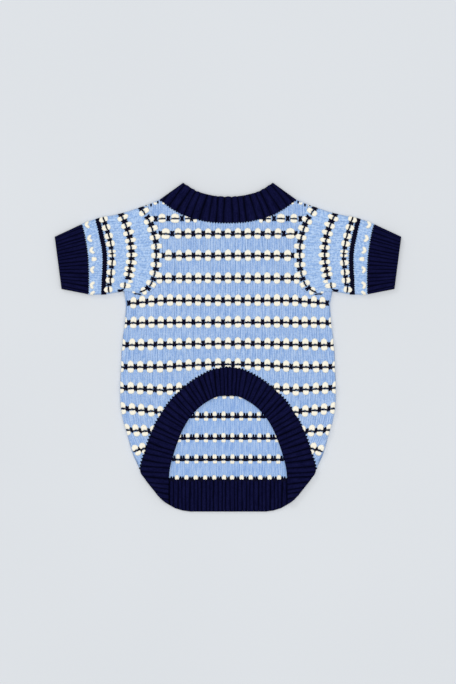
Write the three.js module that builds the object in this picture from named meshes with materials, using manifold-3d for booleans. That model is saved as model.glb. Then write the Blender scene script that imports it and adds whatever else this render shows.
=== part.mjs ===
// A knitted dog sweater laid flat, belly side up. Sizes are in millimetres, +Z is up, +Y points
// to the neck, and the origin is on the ground at the middle of the outline. Every table gives
// the half at +X, and the other half is its mirror image.
import * as THREE from "three";
import { mergeVertices } from "three/addons/utils/BufferGeometryUtils.js";
import Module from "manifold-3d";

const wasm = await Module();
wasm.setup();

// Thickness of the cloth and room between the pieces
const WALL = 2.2;
const BAND_WALL = 2.4;
const GAP = 0.3;
const FRONT_BASE = WALL + GAP;
const FOLD_RADIUS = 1.8;
const FOLD_DROP = 1.4;

// Ribs of the bands: height over the groove, and how many show on each band
const RIB_HEIGHT = 0.9;
const RIB_FLANK = 0.28;
const COLLAR_RIBS = 17;
const CUFF_RIBS = 17;
const BELLY_RIBS = 62;
const HEM_RIBS = 29;
// Power that sets the belly ribs closer together at the arch's top than on its two legs
const BELLY_SPREAD = 1.087;

// Stripe rows: each is a pair of raised courses with a groove between them
const STRIPE_REACH = 5.2;
const STRIPE_CREST = 2.7;
const STRIPE_HEIGHT = 1.2;
const STRIPE_GROOVE = 0.5;
const INSIDE_STRIPE_HEIGHT = 0.8;
const CRESCENT_REACH = 2;

// Half width of the body, from the underarm down to the corner of the hem
const SIDE = [
  { y: 140, x: 96 },
  { y: 60, x: 96 },
  { y: 51, x: 96 },
  { y: 40, x: 93.8 },
  { y: 25, x: 94.8 },
  { y: 10, x: 96.7 },
  { y: -5, x: 98.1 },
  { y: -20, x: 98.6 },
  { y: -34, x: 99.4 },
  { y: -48, x: 99.4 },
  { y: -59, x: 98.4 },
  { y: -70, x: 96 },
  { y: -81, x: 92.5 },
  { y: -92, x: 89.7 },
  { y: -100, x: 86.9 },
  { y: -107, x: 83.6 },
  { y: -113, x: 80.8 },
  { y: -122, x: 75.9 },
];

// Lower edge of the hem, from the middle out to where the side begins
const HEM_EDGE = [
  { x: 0, y: -151.2 },
  { x: 35, y: -151.2 },
  { x: 42, y: -150.2 },
  { x: 49, y: -148 },
  { x: 56, y: -144 },
  { x: 64.4, y: -137 },
  { x: 70.4, y: -129 },
  { x: 75.6, y: -121.8 },
];
const HEM_TOP = -120.5;
const HEM_OPEN = 53.6;

// Collar, from its middle out to the fold at the side of the neck
const COLLAR = [
  { edgeX: 0, edgeY: 138.3, seamX: 0, seamY: 114.8 },
  { edgeX: 9.2, edgeY: 138.6, seamX: 14, seamY: 115.3 },
  { edgeX: 17.5, edgeY: 139.8, seamX: 26.5, seamY: 117.5 },
  { edgeX: 25.8, edgeY: 142.1, seamX: 38.5, seamY: 120.8 },
  { edgeX: 33.5, edgeY: 145.9, seamX: 51, seamY: 127.5 },
  { edgeX: 41.9, edgeY: 151.2, seamX: 63, seamY: 136 },
];
const COLLAR_HALF = 75;

// Band round the arch, from the top of the arch down to the tip of its leg
const ARCH = [
  { freeX: 0, freeY: -44.2, seamX: 0, seamY: -17.9 },
  { freeX: 9.2, freeY: -45.2, seamX: 12.5, seamY: -20 },
  { freeX: 17.5, freeY: -49, seamX: 28, seamY: -27.5 },
  { freeX: 25.8, freeY: -54.7, seamX: 41, seamY: -37.2 },
  { freeX: 34, freeY: -63.3, seamX: 52.5, seamY: -48.3 },
  { freeX: 40.5, freeY: -73.5, seamX: 63, seamY: -63.3 },
  { freeX: 46, freeY: -86, seamX: 71, seamY: -79.5 },
  { freeX: 50.5, freeY: -99.5, seamX: 76.8, seamY: -96.5 },
  { freeX: 53.4, freeY: -111, seamX: 80.9, seamY: -112.8 },
  { freeX: 54.3, freeY: -120, seamX: 76.4, seamY: -121.3 },
  { freeX: 54.5, freeY: -130, seamX: 69.7, seamY: -130 },
  { freeX: 54.6, freeY: -139, seamX: 62, seamY: -139.2 },
  { freeX: 54.7, freeY: -143.5, seamX: 56.8, seamY: -143.4 },
];
const ARCH_SIDE_ROW = 8;

// Cross lines of a sleeve from the armhole out to the cuff, each at seven places from the
// underarm edge to the shoulder edge, and how far out each line lies
const SLEEVE = [
  {
    out: 0,
    x: [95.7, 72.2, 62.2, 60.7, 60.9, 65.7, 74.5],
    y: [51.9, 51.0, 65.7, 80.9, 97.4, 114, 130.6],
  },
  {
    out: 5.4,
    x: [97.1, 75.4, 67.8, 66.1, 67.2, 72.4, 80.8],
    y: [51.7, 53.7, 67.1, 84.1, 98.8, 115.8, 128.8],
  },
  {
    out: 27.7,
    x: [98.6, 92.6, 89.9, 88.4, 89.2, 92.6, 98.2],
    y: [51.4, 59.7, 71.2, 83.2, 96.5, 110.3, 123.1],
  },
  {
    out: 46.8,
    x: [111.8, 109.8, 108.4, 107.5, 109.5, 112.7, 116.1],
    y: [48.9, 59.2, 71.2, 84.1, 97.9, 109.4, 119.7],
  },
  {
    out: 63.3,
    x: [124.4, 124.8, 124.6, 124, 125.1, 127.4, 129.7],
    y: [48.4, 59.2, 70.3, 81.3, 90.5, 102.5, 115.7],
  },
  {
    out: 68.2,
    x: [128.5, 128.3, 128.4, 128.9, 130.2, 132, 134.6],
    y: [48.8, 60.2, 71.2, 82.7, 93.3, 103.4, 113.5],
  },
];
const SLEEVE_END = 68.2;
const SLEEVE_STRIPES = [5.4, 27.7, 46.8];
const SLEEVE_CRESCENTS = 63.3;
const CUFF_UNDER = { x: 153.2, y: 53.7 };
const CUFF_TOP = { x: 159.5, y: 101.9 };
const CUFF_LENGTH = 26;
const CUFF_WIDTH = 58;
const SLEEVE_WIDTH = 78;
const TUBE_STEPS = 12;

// Stripe rows of the front: height at the middle, at the flank and at the side edge
const FLANK = 60;
const SIDE_EDGE = 97;
const FRONT_STRIPES = [
  { middle: 119, flank: 119, side: 117 },
  { middle: 104.9, flank: 104.9, side: 104.9 },
  { middle: 84.6, flank: 84.6, side: 84.6 },
  { middle: 63.9, flank: 63.9, side: 63.9 },
  { middle: 43.5, flank: 43.2, side: 40.9 },
  { middle: 23.5, flank: 23.3, side: 22.7 },
  { middle: 3.9, flank: 3.7, side: 3 },
  { middle: -14.9, flank: -16, side: -17.4 },
  { middle: -36, flank: -38.9, side: -37.1 },
  { middle: -57, flank: -59.2, side: -56.6 },
  { middle: -77, flank: -77.5, side: -75.9 },
  { middle: -90, flank: -90, side: -95.2 },
];

// Stripe rows of the back that show inside the arch, and how far each runs from the middle
const INSIDE_STRIPES = [
  { y: -63.5, reach: 25.5 },
  { y: -83.3, reach: 38.5 },
  { y: -102.9, reach: 47 },
];
const STRIPE_END = 3;

// Solids

// Closed solid over a grid of places. place(u, v) gives x, y and the heights top and base there,
// with u running to +X and v to +Y. A band's plain base has only the two ends of each v line.
function slab(us, vs, place, plainBase = false) {
  const baseVs = plainBase ? [vs[0], vs[vs.length - 1]] : vs;
  const positions = [];
  for (const u of us) {
    for (const v of vs) {
      const spot = place(u, v);
      positions.push(spot.x, spot.y, spot.top);
    }
  }
  for (const u of us) {
    for (const v of baseVs) {
      const spot = place(u, v);
      positions.push(spot.x, spot.y, spot.base);
    }
  }
  const top = (i, j) => i * vs.length + j;
  const base = (i, j) => us.length * vs.length + i * baseVs.length + j;
  const index = [];
  const quad = (a, b, c, d) => index.push(a, b, c, a, c, d);
  const topEnd = vs.length - 1;
  const baseEnd = baseVs.length - 1;
  for (let i = 0; i + 1 < us.length; i++) {
    for (let j = 0; j < topEnd; j++) quad(top(i, j), top(i + 1, j), top(i + 1, j + 1), top(i, j + 1));
    for (let j = 0; j < baseEnd; j++) {
      quad(base(i, j), base(i, j + 1), base(i + 1, j + 1), base(i + 1, j));
    }
    quad(top(i, 0), base(i, 0), base(i + 1, 0), top(i + 1, 0));
    quad(top(i, topEnd), top(i + 1, topEnd), base(i + 1, baseEnd), base(i, baseEnd));
  }
  const last = us.length - 1;
  for (let j = 0; j < topEnd; j++) {
    const under = plainBase ? 0 : j;
    index.push(base(0, under), top(0, j), top(0, j + 1));
    index.push(base(last, under), top(last, j + 1), top(last, j));
    if (plainBase && j + 1 < topEnd) continue;
    index.push(base(0, under), top(0, j + 1), base(0, under + 1));
    index.push(base(last, under), base(last, under + 1), top(last, j + 1));
  }
  const geometry = new THREE.BufferGeometry();
  geometry.setAttribute("position", new THREE.Float32BufferAttribute(positions, 3));
  geometry.setIndex(index);
  return solidOf(geometry);
}

function solidOf(geometry) {
  geometry.deleteAttribute("normal");
  geometry.deleteAttribute("uv");
  const merged = mergeVertices(geometry, 1e-4);
  const mesh = new wasm.Mesh({
    numProp: 3,
    vertProperties: merged.getAttribute("position").array,
    triVerts: new Uint32Array(merged.index.array),
  });
  return new wasm.Manifold(mesh);
}

function geometryOf(solid) {
  const mesh = solid.getMesh();
  const geometry = new THREE.BufferGeometry();
  geometry.setAttribute("position", new THREE.BufferAttribute(mesh.vertProperties, 3));
  geometry.setIndex(new THREE.BufferAttribute(mesh.triVerts, 1));
  return geometry;
}

// Straight prism on a symmetric outline, given by its half at +X from the top down
function prism(half, low, high) {
  const mirrored = half.map((p) => new THREE.Vector2(-p.x, p.y)).reverse();
  const shape = new THREE.Shape([...half, ...mirrored]);
  const settings = { depth: high - low, bevelEnabled: false };
  return solidOf(new THREE.ExtrudeGeometry(shape, settings).translate(0, 0, low));
}

// Lines

const point = (x, y) => new THREE.Vector2(x, y);
const mix = THREE.MathUtils.lerp;
const steps = (count) => Array.from({ length: count + 1 }, (_, i) => i / count);
const inOrder = (values) => [...new Set(values)].sort((a, b) => a - b);

// Value of a column at a place between two rows of a table that is sorted by its key
function between(rows, key, column, at) {
  const sign = Math.sign(rows[rows.length - 1][key] - rows[0][key]);
  const next = rows.findIndex((row) => (row[key] - at) * sign >= 0);
  const row = rows[next === -1 ? rows.length - 1 : Math.max(next, 1)];
  const before = rows[rows.indexOf(row) - 1];
  return mix(before[column], row[column], (at - before[key]) / (row[key] - before[key]));
}

const halfWidth = (y) => between(SIDE, "y", "x", y);
const splineOf = (rows, x, y) => new THREE.SplineCurve(rows.map((row) => point(row[x], row[y])));

// Points of a line moved sideways, to the left of its direction
function moved(points, distance) {
  return points.map((p, i) => {
    const before = points[Math.max(i - 1, 0)];
    const after = points[Math.min(i + 1, points.length - 1)];
    const along = after.clone().sub(before).normalize();
    return point(p.x - along.y * distance, p.y + along.x * distance);
  });
}

// Place on a sleeve: v is 0 at the underarm edge and 1 at the shoulder edge
const sleeveLines = SLEEVE.map(
  (line) => new THREE.SplineCurve(line.x.map((x, i) => point(x, line.y[i]))),
);

function sleevePoint(out, v) {
  const next = SLEEVE.findIndex((line) => line.out >= out);
  const upper = next === -1 ? SLEEVE.length - 1 : Math.max(next, 1);
  const share = (out - SLEEVE[upper - 1].out) / (SLEEVE[upper].out - SLEEVE[upper - 1].out);
  const inner = sleeveLines[upper - 1].getPoint(v);
  return inner.lerp(sleeveLines[upper].getPoint(v), share);
}

// Relief

// Fall of a surface towards a fold, from the distance to it
function foldDrop(distance) {
  const near = THREE.MathUtils.clamp(1 - distance / FOLD_RADIUS, 0, 1);
  return FOLD_DROP * (1 - Math.sqrt(1 - near * near));
}

const ribHeight = (place, count) => {
  const phase = place * count - Math.floor(place * count + 1e-6);
  return RIB_HEIGHT * Math.min(1, Math.max(0, Math.min(phase, 1 - phase)) / RIB_FLANK);
};

// Where the groove, the two edges of the flat and the next groove of each rib fall
function ribPlaces(count) {
  const places = [1];
  for (let i = 0; i < count; i++) {
    places.push(i / count, (i + RIB_FLANK) / count, (i + 1 - RIB_FLANK) / count);
  }
  return inOrder(places);
}

const STRIPE_OFFSETS = [-STRIPE_REACH, -STRIPE_CREST, 0, STRIPE_CREST, STRIPE_REACH];

function stripeHeight(distance) {
  const d = Math.abs(distance);
  if (d <= STRIPE_CREST) return mix(STRIPE_GROOVE, STRIPE_HEIGHT, d / STRIPE_CREST);
  const fall = (STRIPE_REACH - d) / (STRIPE_REACH - STRIPE_CREST);
  return STRIPE_HEIGHT * Math.max(0, fall);
}

// Front and back panels

const NECK_STEPS = 16;
const ARCH_STEPS = 40;
const PANEL_STEPS = 12;
const FOLD_INSETS = [0, 0.5, FOLD_RADIUS];
const ABOVE_NECK = 140;
const BELOW_STRIPES = 20;
const BELOW_PANEL = -3;
const ABOVE_PANEL = 10;
const CLEAR = 8;
const BELOW_UNDERARM = 1;

// Outline that both panels share: neck, shoulder and armhole, a gap clear of collar and sleeve
function neckToUnderarm() {
  const neck = splineOf(COLLAR, "seamX", "seamY").getPoints(NECK_STEPS);
  const armhole = acrossTube(SLEEVE_WIDTH).map((v) => sleevePoint(0, 1 - v));
  const besideSleeve = moved(armhole, -GAP);
  const last = besideSleeve[besideSleeve.length - 1];
  const underY = last.y - BELOW_UNDERARM;
  const under = [point(last.x + CLEAR, underY), point(SIDE_EDGE + CLEAR, underY)];
  return [...moved(neck, -GAP), ...besideSleeve, ...under];
}

// Columns of a panel: spread over the width, with more of them beside the two folds
function panelColumns(width) {
  const folds = FOLD_INSETS.flatMap((inset) => [-1 + inset / width, 1 - inset / width]);
  return inOrder([...steps(PANEL_STEPS).map((step) => 2 * step - 1), ...folds]);
}

function frontStripe(row, x) {
  const away = Math.abs(x);
  if (away < FLANK) return mix(row.middle, row.flank, (away / FLANK) ** 2);
  return mix(row.flank, row.side, (away - FLANK) / (SIDE_EDGE - FLANK));
}

// A line of the front's relief lies at an offset from one of the stripe rows
const lineOf = (line, x) => frontStripe(line.stripe, x) + line.offset;

function frontPanel() {
  const upward = [...FRONT_STRIPES].reverse();
  const lines = [{ stripe: upward[0], offset: -BELOW_STRIPES }];
  for (const stripe of upward) {
    for (const offset of STRIPE_OFFSETS) lines.push({ stripe, offset });
  }
  lines.push({ stripe: FRONT_STRIPES[0], offset: ABOVE_NECK - FRONT_STRIPES[0].middle });
  const cloth = slab(panelColumns(SIDE_EDGE), lines, (u, line) => {
    const x = u * halfWidth(lineOf(line, u * SIDE_EDGE));
    const y = lineOf(line, x);
    const fold = foldDrop(halfWidth(y) - Math.abs(x));
    const top = FRONT_BASE + WALL + stripeHeight(line.offset) - fold;
    return { x, y, top, base: BELOW_PANEL };
  });
  const seam = splineOf(ARCH, "seamX", "seamY");
  const toSide = ARCH_SIDE_ROW / (ARCH.length - 1);
  const line = steps(ARCH_STEPS).map((step) => seam.getPoint(step * toSide));
  const arch = moved(line, GAP).reverse();
  const past = arch[0].clone().sub(arch[1]).setLength(CLEAR).add(arch[0]);
  const outside = point(SIDE_EDGE + CLEAR, past.y);
  const outline = [...neckToUnderarm(), outside, past, ...arch];
  return cloth.intersect(prism(outline, FRONT_BASE, ABOVE_PANEL));
}

function backPanel() {
  const foot = HEM_TOP + GAP;
  const stripes = INSIDE_STRIPES.flatMap((row) => STRIPE_OFFSETS.map((offset) => row.y + offset));
  const sides = SIDE.map((row) => row.y).filter((y) => y > foot);
  const ends = INSIDE_STRIPES.flatMap((row) => [row.reach, row.reach + STRIPE_END]);
  const halves = [0, ...ends, SIDE_EDGE];
  const columns = inOrder([...halves, ...halves.map((x) => -x)]);
  const cloth = slab(columns, inOrder([foot - GAP, ...stripes, ...sides]), (column, y) => {
    const atSide = Math.abs(column) === SIDE_EDGE;
    const x = atSide ? Math.sign(column) * halfWidth(y) : column;
    return { x, y, top: WALL + insideStripe(x, y), base: BELOW_PANEL };
  });
  const outline = [...neckToUnderarm(), point(SIDE_EDGE + CLEAR, foot)];
  return cloth.intersect(prism(outline, 0, ABOVE_PANEL));
}

function insideStripe(x, y) {
  const row = INSIDE_STRIPES.find((stripe) => Math.abs(stripe.y - y) <= STRIPE_REACH);
  if (!row) return 0;
  const end = (row.reach + STRIPE_END - Math.abs(x)) / STRIPE_END;
  const share = INSIDE_STRIPE_HEIGHT / STRIPE_HEIGHT;
  return share * stripeHeight(row.y - y) * THREE.MathUtils.clamp(end, 0, 1);
}

// Rib bands

// Lines across a band, as shares of its width, and how far its rounded edges fall there
const BAND_LINES = [0, 0.05, 0.95, 1];
const SLOT_LINES = [-0.1, 1.1];
const BAND_EDGE_DROP = 0.8;
const edgeDrop = (v) => (v === 0 || v === 1 ? BAND_EDGE_DROP : 0);

// Place on a band whose table runs from the middle out: u is -1 to 1 along it, evenly spaced on
// the band's middle line, and v crosses it
function bandPlacer(rows, inner, outer) {
  const innerLine = splineOf(rows, inner + "X", inner + "Y");
  const outerLine = splineOf(rows, outer + "X", outer + "Y");
  const middle = innerLine.points.map((p, i) => p.clone().lerp(outerLine.points[i], 0.5));
  const middleLine = new THREE.SplineCurve(middle);
  return (u, v) => {
    const away = middleLine.getUtoTmapping(Math.abs(u));
    const spot = innerLine.getPoint(away).lerp(outerLine.getPoint(away), v);
    return { x: Math.sign(u) * spot.x, y: spot.y };
  };
}

const ribColumns = (count) => ribPlaces(count).map((place) => 2 * place - 1);

// Tube pressed flat: its outer form less the slot between its two layers
function collar() {
  const place = bandPlacer(COLLAR, "seam", "edge");
  const folds = FOLD_INSETS.flatMap((inset) => [-1 + inset / COLLAR_HALF, 1 - inset / COLLAR_HALF]);
  const columns = inOrder([...ribColumns(COLLAR_RIBS), ...folds]);
  const outer = slab(
    columns,
    BAND_LINES,
    (u, v) => {
      const drop = foldDrop((1 - Math.abs(u)) * COLLAR_HALF);
      const relief = ribHeight((u + 1) / 2, COLLAR_RIBS) - edgeDrop(v);
      return { ...place(u, v), top: FRONT_BASE + BAND_WALL + relief - drop, base: drop };
    },
    true,
  );
  const inset = (WALL + GAP) / COLLAR_HALF;
  const slotColumns = steps(PANEL_STEPS).map((step) => mix(inset - 1, 1 - inset, step));
  const slot = slab(slotColumns, SLOT_LINES, (u, v) => {
    return { ...place(u, v), top: FRONT_BASE, base: WALL };
  });
  return outer.subtract(slot);
}

function bellyBand() {
  const place = bandPlacer(ARCH, "free", "seam");
  const columns = ribColumns(BELLY_RIBS);
  return slab(
    columns,
    BAND_LINES,
    (w, v) => {
      const u = Math.sign(w) * Math.abs(w) ** BELLY_SPREAD;
      const relief = ribHeight((w + 1) / 2, BELLY_RIBS) - edgeDrop(v);
      return { ...place(u, v), top: FRONT_BASE + BAND_WALL + relief, base: FRONT_BASE };
    },
    true,
  );
}

// The hem's ribs show between the legs of the belly band, and its ends run plain under them
function hemBand() {
  const ends = HEM_EDGE.map((row) => row.x).filter((x) => x > HEM_OPEN);
  const ribs = ribColumns(HEM_RIBS).map((u) => u * HEM_OPEN);
  const columns = inOrder([...ribs, ...ends, ...ends.map((x) => -x)]);
  return slab(
    columns,
    BAND_LINES,
    (x, v) => {
      const away = Math.abs(x);
      const y = mix(between(HEM_EDGE, "x", "y", away), HEM_TOP, v);
      const rib = away < HEM_OPEN ? ribHeight((x / HEM_OPEN + 1) / 2, HEM_RIBS) : 0;
      return { x, y, top: WALL + rib - edgeDrop(v) / 2, base: 0 };
    },
    true,
  );
}

// Sleeves and cuffs

// Places across a flattened tube of a given width, with more of them beside its folds
function acrossTube(width) {
  const folds = FOLD_INSETS.flatMap((inset) => [inset / width, 1 - inset / width]);
  return inOrder([...steps(TUBE_STEPS), ...folds]);
}

function sleeve() {
  const stripes = SLEEVE_STRIPES.flatMap((row) => STRIPE_OFFSETS.map((offset) => row + offset));
  const crescents = [-1, 0, 1].map((side) => SLEEVE_CRESCENTS + side * CRESCENT_REACH);
  const places = inOrder([0, ...stripes, ...crescents, SLEEVE_END]);
  const outer = slab(places, acrossTube(SLEEVE_WIDTH), (out, v) => {
    const drop = foldDrop(Math.min(v, 1 - v) * SLEEVE_WIDTH);
    const spot = sleevePoint(out, v);
    const top = FRONT_BASE + WALL + sleeveRelief(out) - drop;
    return { x: spot.x, y: spot.y, top, base: drop };
  });
  const lines = [-1, ...SLEEVE.map((line) => line.out), SLEEVE_END + 1];
  const slot = slab(lines, acrossSlot(SLEEVE_WIDTH), (out, v) => {
    const spot = sleevePoint(out, v);
    return { x: spot.x, y: spot.y, top: FRONT_BASE, base: WALL };
  });
  return outer.subtract(slot);
}

function acrossSlot(width) {
  const inset = (WALL + GAP) / width;
  return steps(TUBE_STEPS).map((step) => mix(inset, 1 - inset, step));
}

function sleeveRelief(out) {
  const stripe = Math.max(...SLEEVE_STRIPES.map((row) => stripeHeight(out - row)));
  const crescent = Math.max(0, 1 - Math.abs(out - SLEEVE_CRESCENTS) / CRESCENT_REACH);
  return Math.max(stripe, crescent * STRIPE_HEIGHT);
}

// The cuff's ribs run out along the arm, so its columns go from the shoulder edge down
function cuff() {
  const folds = FOLD_INSETS.flatMap((inset) => [inset / CUFF_WIDTH, 1 - inset / CUFF_WIDTH]);
  const down = inOrder([...ribPlaces(CUFF_RIBS), ...folds]);
  const place = (u, out) => {
    const seam = sleevePoint(SLEEVE_END, 1 - u);
    const end = point(mix(CUFF_TOP.x, CUFF_UNDER.x, u), mix(CUFF_TOP.y, CUFF_UNDER.y, u));
    return seam.lerp(end, mix(GAP / CUFF_LENGTH, 1, out));
  };
  const outer = slab(
    down,
    BAND_LINES,
    (u, out) => {
      const spot = place(u, out);
      const drop = foldDrop(Math.min(u, 1 - u) * CUFF_WIDTH);
      const relief = ribHeight(u, CUFF_RIBS) - edgeDrop(out);
      return { x: spot.x, y: spot.y, top: FRONT_BASE + BAND_WALL + relief - drop, base: drop };
    },
    true,
  );
  const slot = slab(acrossSlot(CUFF_WIDTH), SLOT_LINES, (u, out) => {
    const spot = place(u, out);
    return { x: spot.x, y: spot.y, top: FRONT_BASE, base: WALL };
  });
  return outer.subtract(slot);
}

// Finishes

const blueKnit = new THREE.MeshStandardMaterial({
  name: "blue_knit",
  color: 0x9fbceb,
  roughness: 0.95,
  metalness: 0,
});
const navyRib = new THREE.MeshStandardMaterial({
  name: "navy_rib",
  color: 0x10103a,
  roughness: 0.95,
  metalness: 0,
});

// The garment

function piece(name, solid, material, mirrored = false) {
  const mesh = new THREE.Mesh(geometryOf(solid), material);
  mesh.name = name;
  if (mirrored) mesh.scale.x = -1;
  return mesh;
}

const sweater = new THREE.Group();
sweater.add(piece("back_panel", backPanel(), blueKnit));
sweater.add(piece("front_panel", frontPanel(), blueKnit));
sweater.add(piece("collar", collar(), navyRib));
sweater.add(piece("belly_band", bellyBand(), navyRib));
sweater.add(piece("hem_band", hemBand(), navyRib));
sweater.add(piece("sleeve_right", sleeve(), blueKnit));
sweater.add(piece("sleeve_left", sleeve(), blueKnit, true));
sweater.add(piece("cuff_right", cuff(), navyRib));
sweater.add(piece("cuff_left", cuff(), navyRib, true));

export default sweater;
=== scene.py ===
# %% [markdown]
# # A knitted dog sweater, laid flat
# The real sweater is a tube of soft blue knit pressed flat, belly side up, with two short sleeves
# and navy rib bands at the neck, the cuffs, the hem and round the arch of the belly. Rows of plump
# cream stitches, parted by navy ones, cross the blue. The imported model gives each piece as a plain
# solid. Here each solid is replaced by knit with real ridges, ribs and stitches of its own.

# %% The frame
import math

import bmesh
import bpy
import numpy as np
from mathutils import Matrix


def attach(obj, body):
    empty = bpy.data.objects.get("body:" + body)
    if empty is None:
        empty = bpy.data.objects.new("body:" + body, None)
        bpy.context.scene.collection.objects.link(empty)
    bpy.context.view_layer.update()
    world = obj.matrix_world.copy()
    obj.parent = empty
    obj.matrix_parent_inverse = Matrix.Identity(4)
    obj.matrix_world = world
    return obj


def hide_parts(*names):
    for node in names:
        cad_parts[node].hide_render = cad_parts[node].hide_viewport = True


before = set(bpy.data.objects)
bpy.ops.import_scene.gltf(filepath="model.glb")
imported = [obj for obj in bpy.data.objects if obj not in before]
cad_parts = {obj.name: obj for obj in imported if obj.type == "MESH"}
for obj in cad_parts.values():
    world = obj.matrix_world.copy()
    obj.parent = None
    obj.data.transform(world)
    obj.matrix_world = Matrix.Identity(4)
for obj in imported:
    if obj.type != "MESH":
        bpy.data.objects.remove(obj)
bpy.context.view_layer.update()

# %% [markdown]
# ## Sizes
# A knitter works from a chart, so the shapes come from short tables in millimetres: half of each
# line, at +X, with the other half its mirror image. They are the same sizes as the solids have, so
# every piece lands where its solid is.

# %% Cloth and yarn sizes
# A layer's thickness, a rib band's, the gap between layers, and the levels that follow
MM = 0.001
WALL = 2.2
BAND_WALL = 2.4
GAP = 0.3
FRONT_BASE = WALL + GAP
FRONT_TOP = FRONT_BASE + WALL
BAND_TOP = FRONT_BASE + BAND_WALL
FOLD_RADIUS = 2.2
WALES_A_BOBBLE = 4
COURSE = 1.8
COLLAR_RIBS, CUFF_RIBS, BELLY_RIBS, HEM_RIBS = 17, 17, 62, 29

# %% Outline tables
SIDE_Y = [140, 60, 51, 40, 25, 10, -5, -20, -34, -48, -59, -70, -81, -92, -100, -107, -113, -122]
SIDE_X = [96, 96, 96, 93.8, 94.8, 96.7, 98.1, 98.6, 99.4, 99.4, 98.4, 96, 92.5, 89.7, 86.9, 83.6,
          80.8, 75.9]
HEM_EDGE = [(0, -151.2), (35, -151.2), (42, -150.2), (49, -148), (56, -144), (64.4, -137),
            (70.4, -129), (75.6, -121.8)]
HEM_TOP = -120.5
HEM_OPEN = 53.6
COLLAR_EDGE = [(0, 138.3), (9.2, 138.6), (17.5, 139.8), (25.8, 142.1), (33.5, 145.9), (41.9, 151.2)]
COLLAR_SEAM = [(0, 114.8), (14, 115.3), (26.5, 117.5), (38.5, 120.8), (51, 127.5), (63, 136)]
ARCH_FREE = [(0, -44.2), (9.2, -45.2), (17.5, -49), (25.8, -54.7), (34, -63.3), (40.5, -73.5),
             (46, -86), (50.5, -99.5), (53.4, -111), (54.3, -120), (54.5, -130), (54.6, -139),
             (54.7, -143.5)]
ARCH_SEAM = [(0, -17.9), (12.5, -20), (28, -27.5), (41, -37.2), (52.5, -48.3), (63, -63.3),
             (71, -79.5), (76.8, -96.5), (80.9, -112.8), (76.4, -121.3), (69.7, -130),
             (62, -139.2), (56.8, -143.4)]
ARCH_SIDE_ROW = 8
UNDERARM_Y = 51

# %% Sleeve tables
# Cross lines of a sleeve from the armhole out, each from the underarm to the shoulder edge
SLEEVE_OUT = np.array([0, 5.4, 27.7, 46.8, 63.3, 68.2])
SLEEVE_X = [[95.7, 72.2, 62.2, 60.7, 60.9, 65.7, 74.5],
            [97.1, 75.4, 67.8, 66.1, 67.2, 72.4, 80.8],
            [98.6, 92.6, 89.9, 88.4, 89.2, 92.6, 98.2],
            [111.8, 109.8, 108.4, 107.5, 109.5, 112.7, 116.1],
            [124.4, 124.8, 124.6, 124, 125.1, 127.4, 129.7],
            [128.5, 128.3, 128.4, 128.9, 130.2, 132, 134.6]]
SLEEVE_Y = [[51.9, 51.0, 65.7, 80.9, 97.4, 114, 130.6],
            [51.7, 53.7, 67.1, 84.1, 98.8, 115.8, 128.8],
            [51.4, 59.7, 71.2, 83.2, 96.5, 110.3, 123.1],
            [48.9, 59.2, 71.2, 84.1, 97.9, 109.4, 119.7],
            [48.4, 59.2, 70.3, 81.3, 90.5, 102.5, 115.7],
            [48.8, 60.2, 71.2, 82.7, 93.3, 103.4, 113.5]]
CUFF_UNDER = np.array([153.2, 53.7])
CUFF_TOP = np.array([159.5, 101.9])
CUFF_LENGTH = 26
SLEEVE_WIDTH, CUFF_WIDTH, COLLAR_WIDTH = 78, 58, 150

# %% Chart of the stripe rows
# Height of each row of the front at the middle, at the flank and at the side edge, and the
# place of each column of bobbles
FLANK = 60
SIDE_EDGE = 97
ROW_MIDDLE = np.array([119, 105.1, 85, 64.1, 43.8, 23.7, 4.1, -14.9, -36, -57, -77, -88])
ROW_FLANK = np.array([119, 105, 84.9, 64.1, 43.8, 23.6, 3.3, -17.4, -38.6, -59, -77.3, -88])
ROW_SIDE = np.array([117, 105, 84.9, 64.1, 40.6, 23, 2.7, -17.4, -36.7, -55.6, -75.2, -97.6])
ROW_PITCH = 20
COLUMN_X = [0, 9.1, 18.3, 27.4, 36.2, 45, 53.5, 62, 70.5, 79, 87, 95.5, 104.5]
NARROWING_Y = [-110, -95, -77.5, -57]
NARROWING = [0.82, 0.895, 0.97, 1]
# Past this place the columns spread, by these shares at these heights
SPREAD_FROM = 54
SPREAD_Y = [-77, -57, -37, -15, 23]
SPREAD = [0, 0.035, 0.075, 0.075, 0]


# %% [markdown]
# ## Lines and outlines
# Each tapered or curved edge is a smooth line through its table's points. The two helpers below
# give places on such a line, and the third one tells which points lie in a closed outline, which
# is how a grid of knit is cut to the shape of a panel.

# %% Smooth lines
def spline(points, share):
    """Places on the smooth line through the points, at shares 0 to 1 of their number."""
    points = np.asarray(points, float)
    at = np.clip(np.asarray(share, float), 0, 1) * (len(points) - 1)
    first = np.minimum(at.astype(int), len(points) - 2)
    t = (at - first)[..., None]
    start, end = points[first], points[first + 1]
    before = points[np.maximum(first - 1, 0)]
    after = points[np.minimum(first + 2, len(points) - 1)]
    leave, arrive = (end - before) / 2, (after - start) / 2
    return ((2 * start - 2 * end + leave + arrive) * t**3
            + (3 * end - 3 * start - 2 * leave - arrive) * t**2 + leave * t + start)


def evenly(points, share):
    """Shares of the points' number that lie at even shares of the line's length."""
    fine = np.linspace(0, 1, 401)
    steps = np.linalg.norm(np.diff(spline(points, fine), axis=0), axis=1)
    length = np.concatenate([[0], np.cumsum(steps)])
    return np.interp(share, length / length[-1], fine)


def moved(line, distance):
    """The line moved sideways, to the left of its direction."""
    along = np.gradient(line, axis=0)
    along /= np.linalg.norm(along, axis=1)[:, None]
    return line + distance * np.stack([-along[:, 1], along[:, 0]], 1)


def half_width(y):
    """Half of the body's width at a height."""
    return np.interp(y, SIDE_Y[::-1], SIDE_X[::-1])


# %% Places on the sleeve, the cuff and the bands
SLEEVE_LINES = [np.stack(line, 1) for line in zip(np.array(SLEEVE_X), np.array(SLEEVE_Y))]


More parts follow.
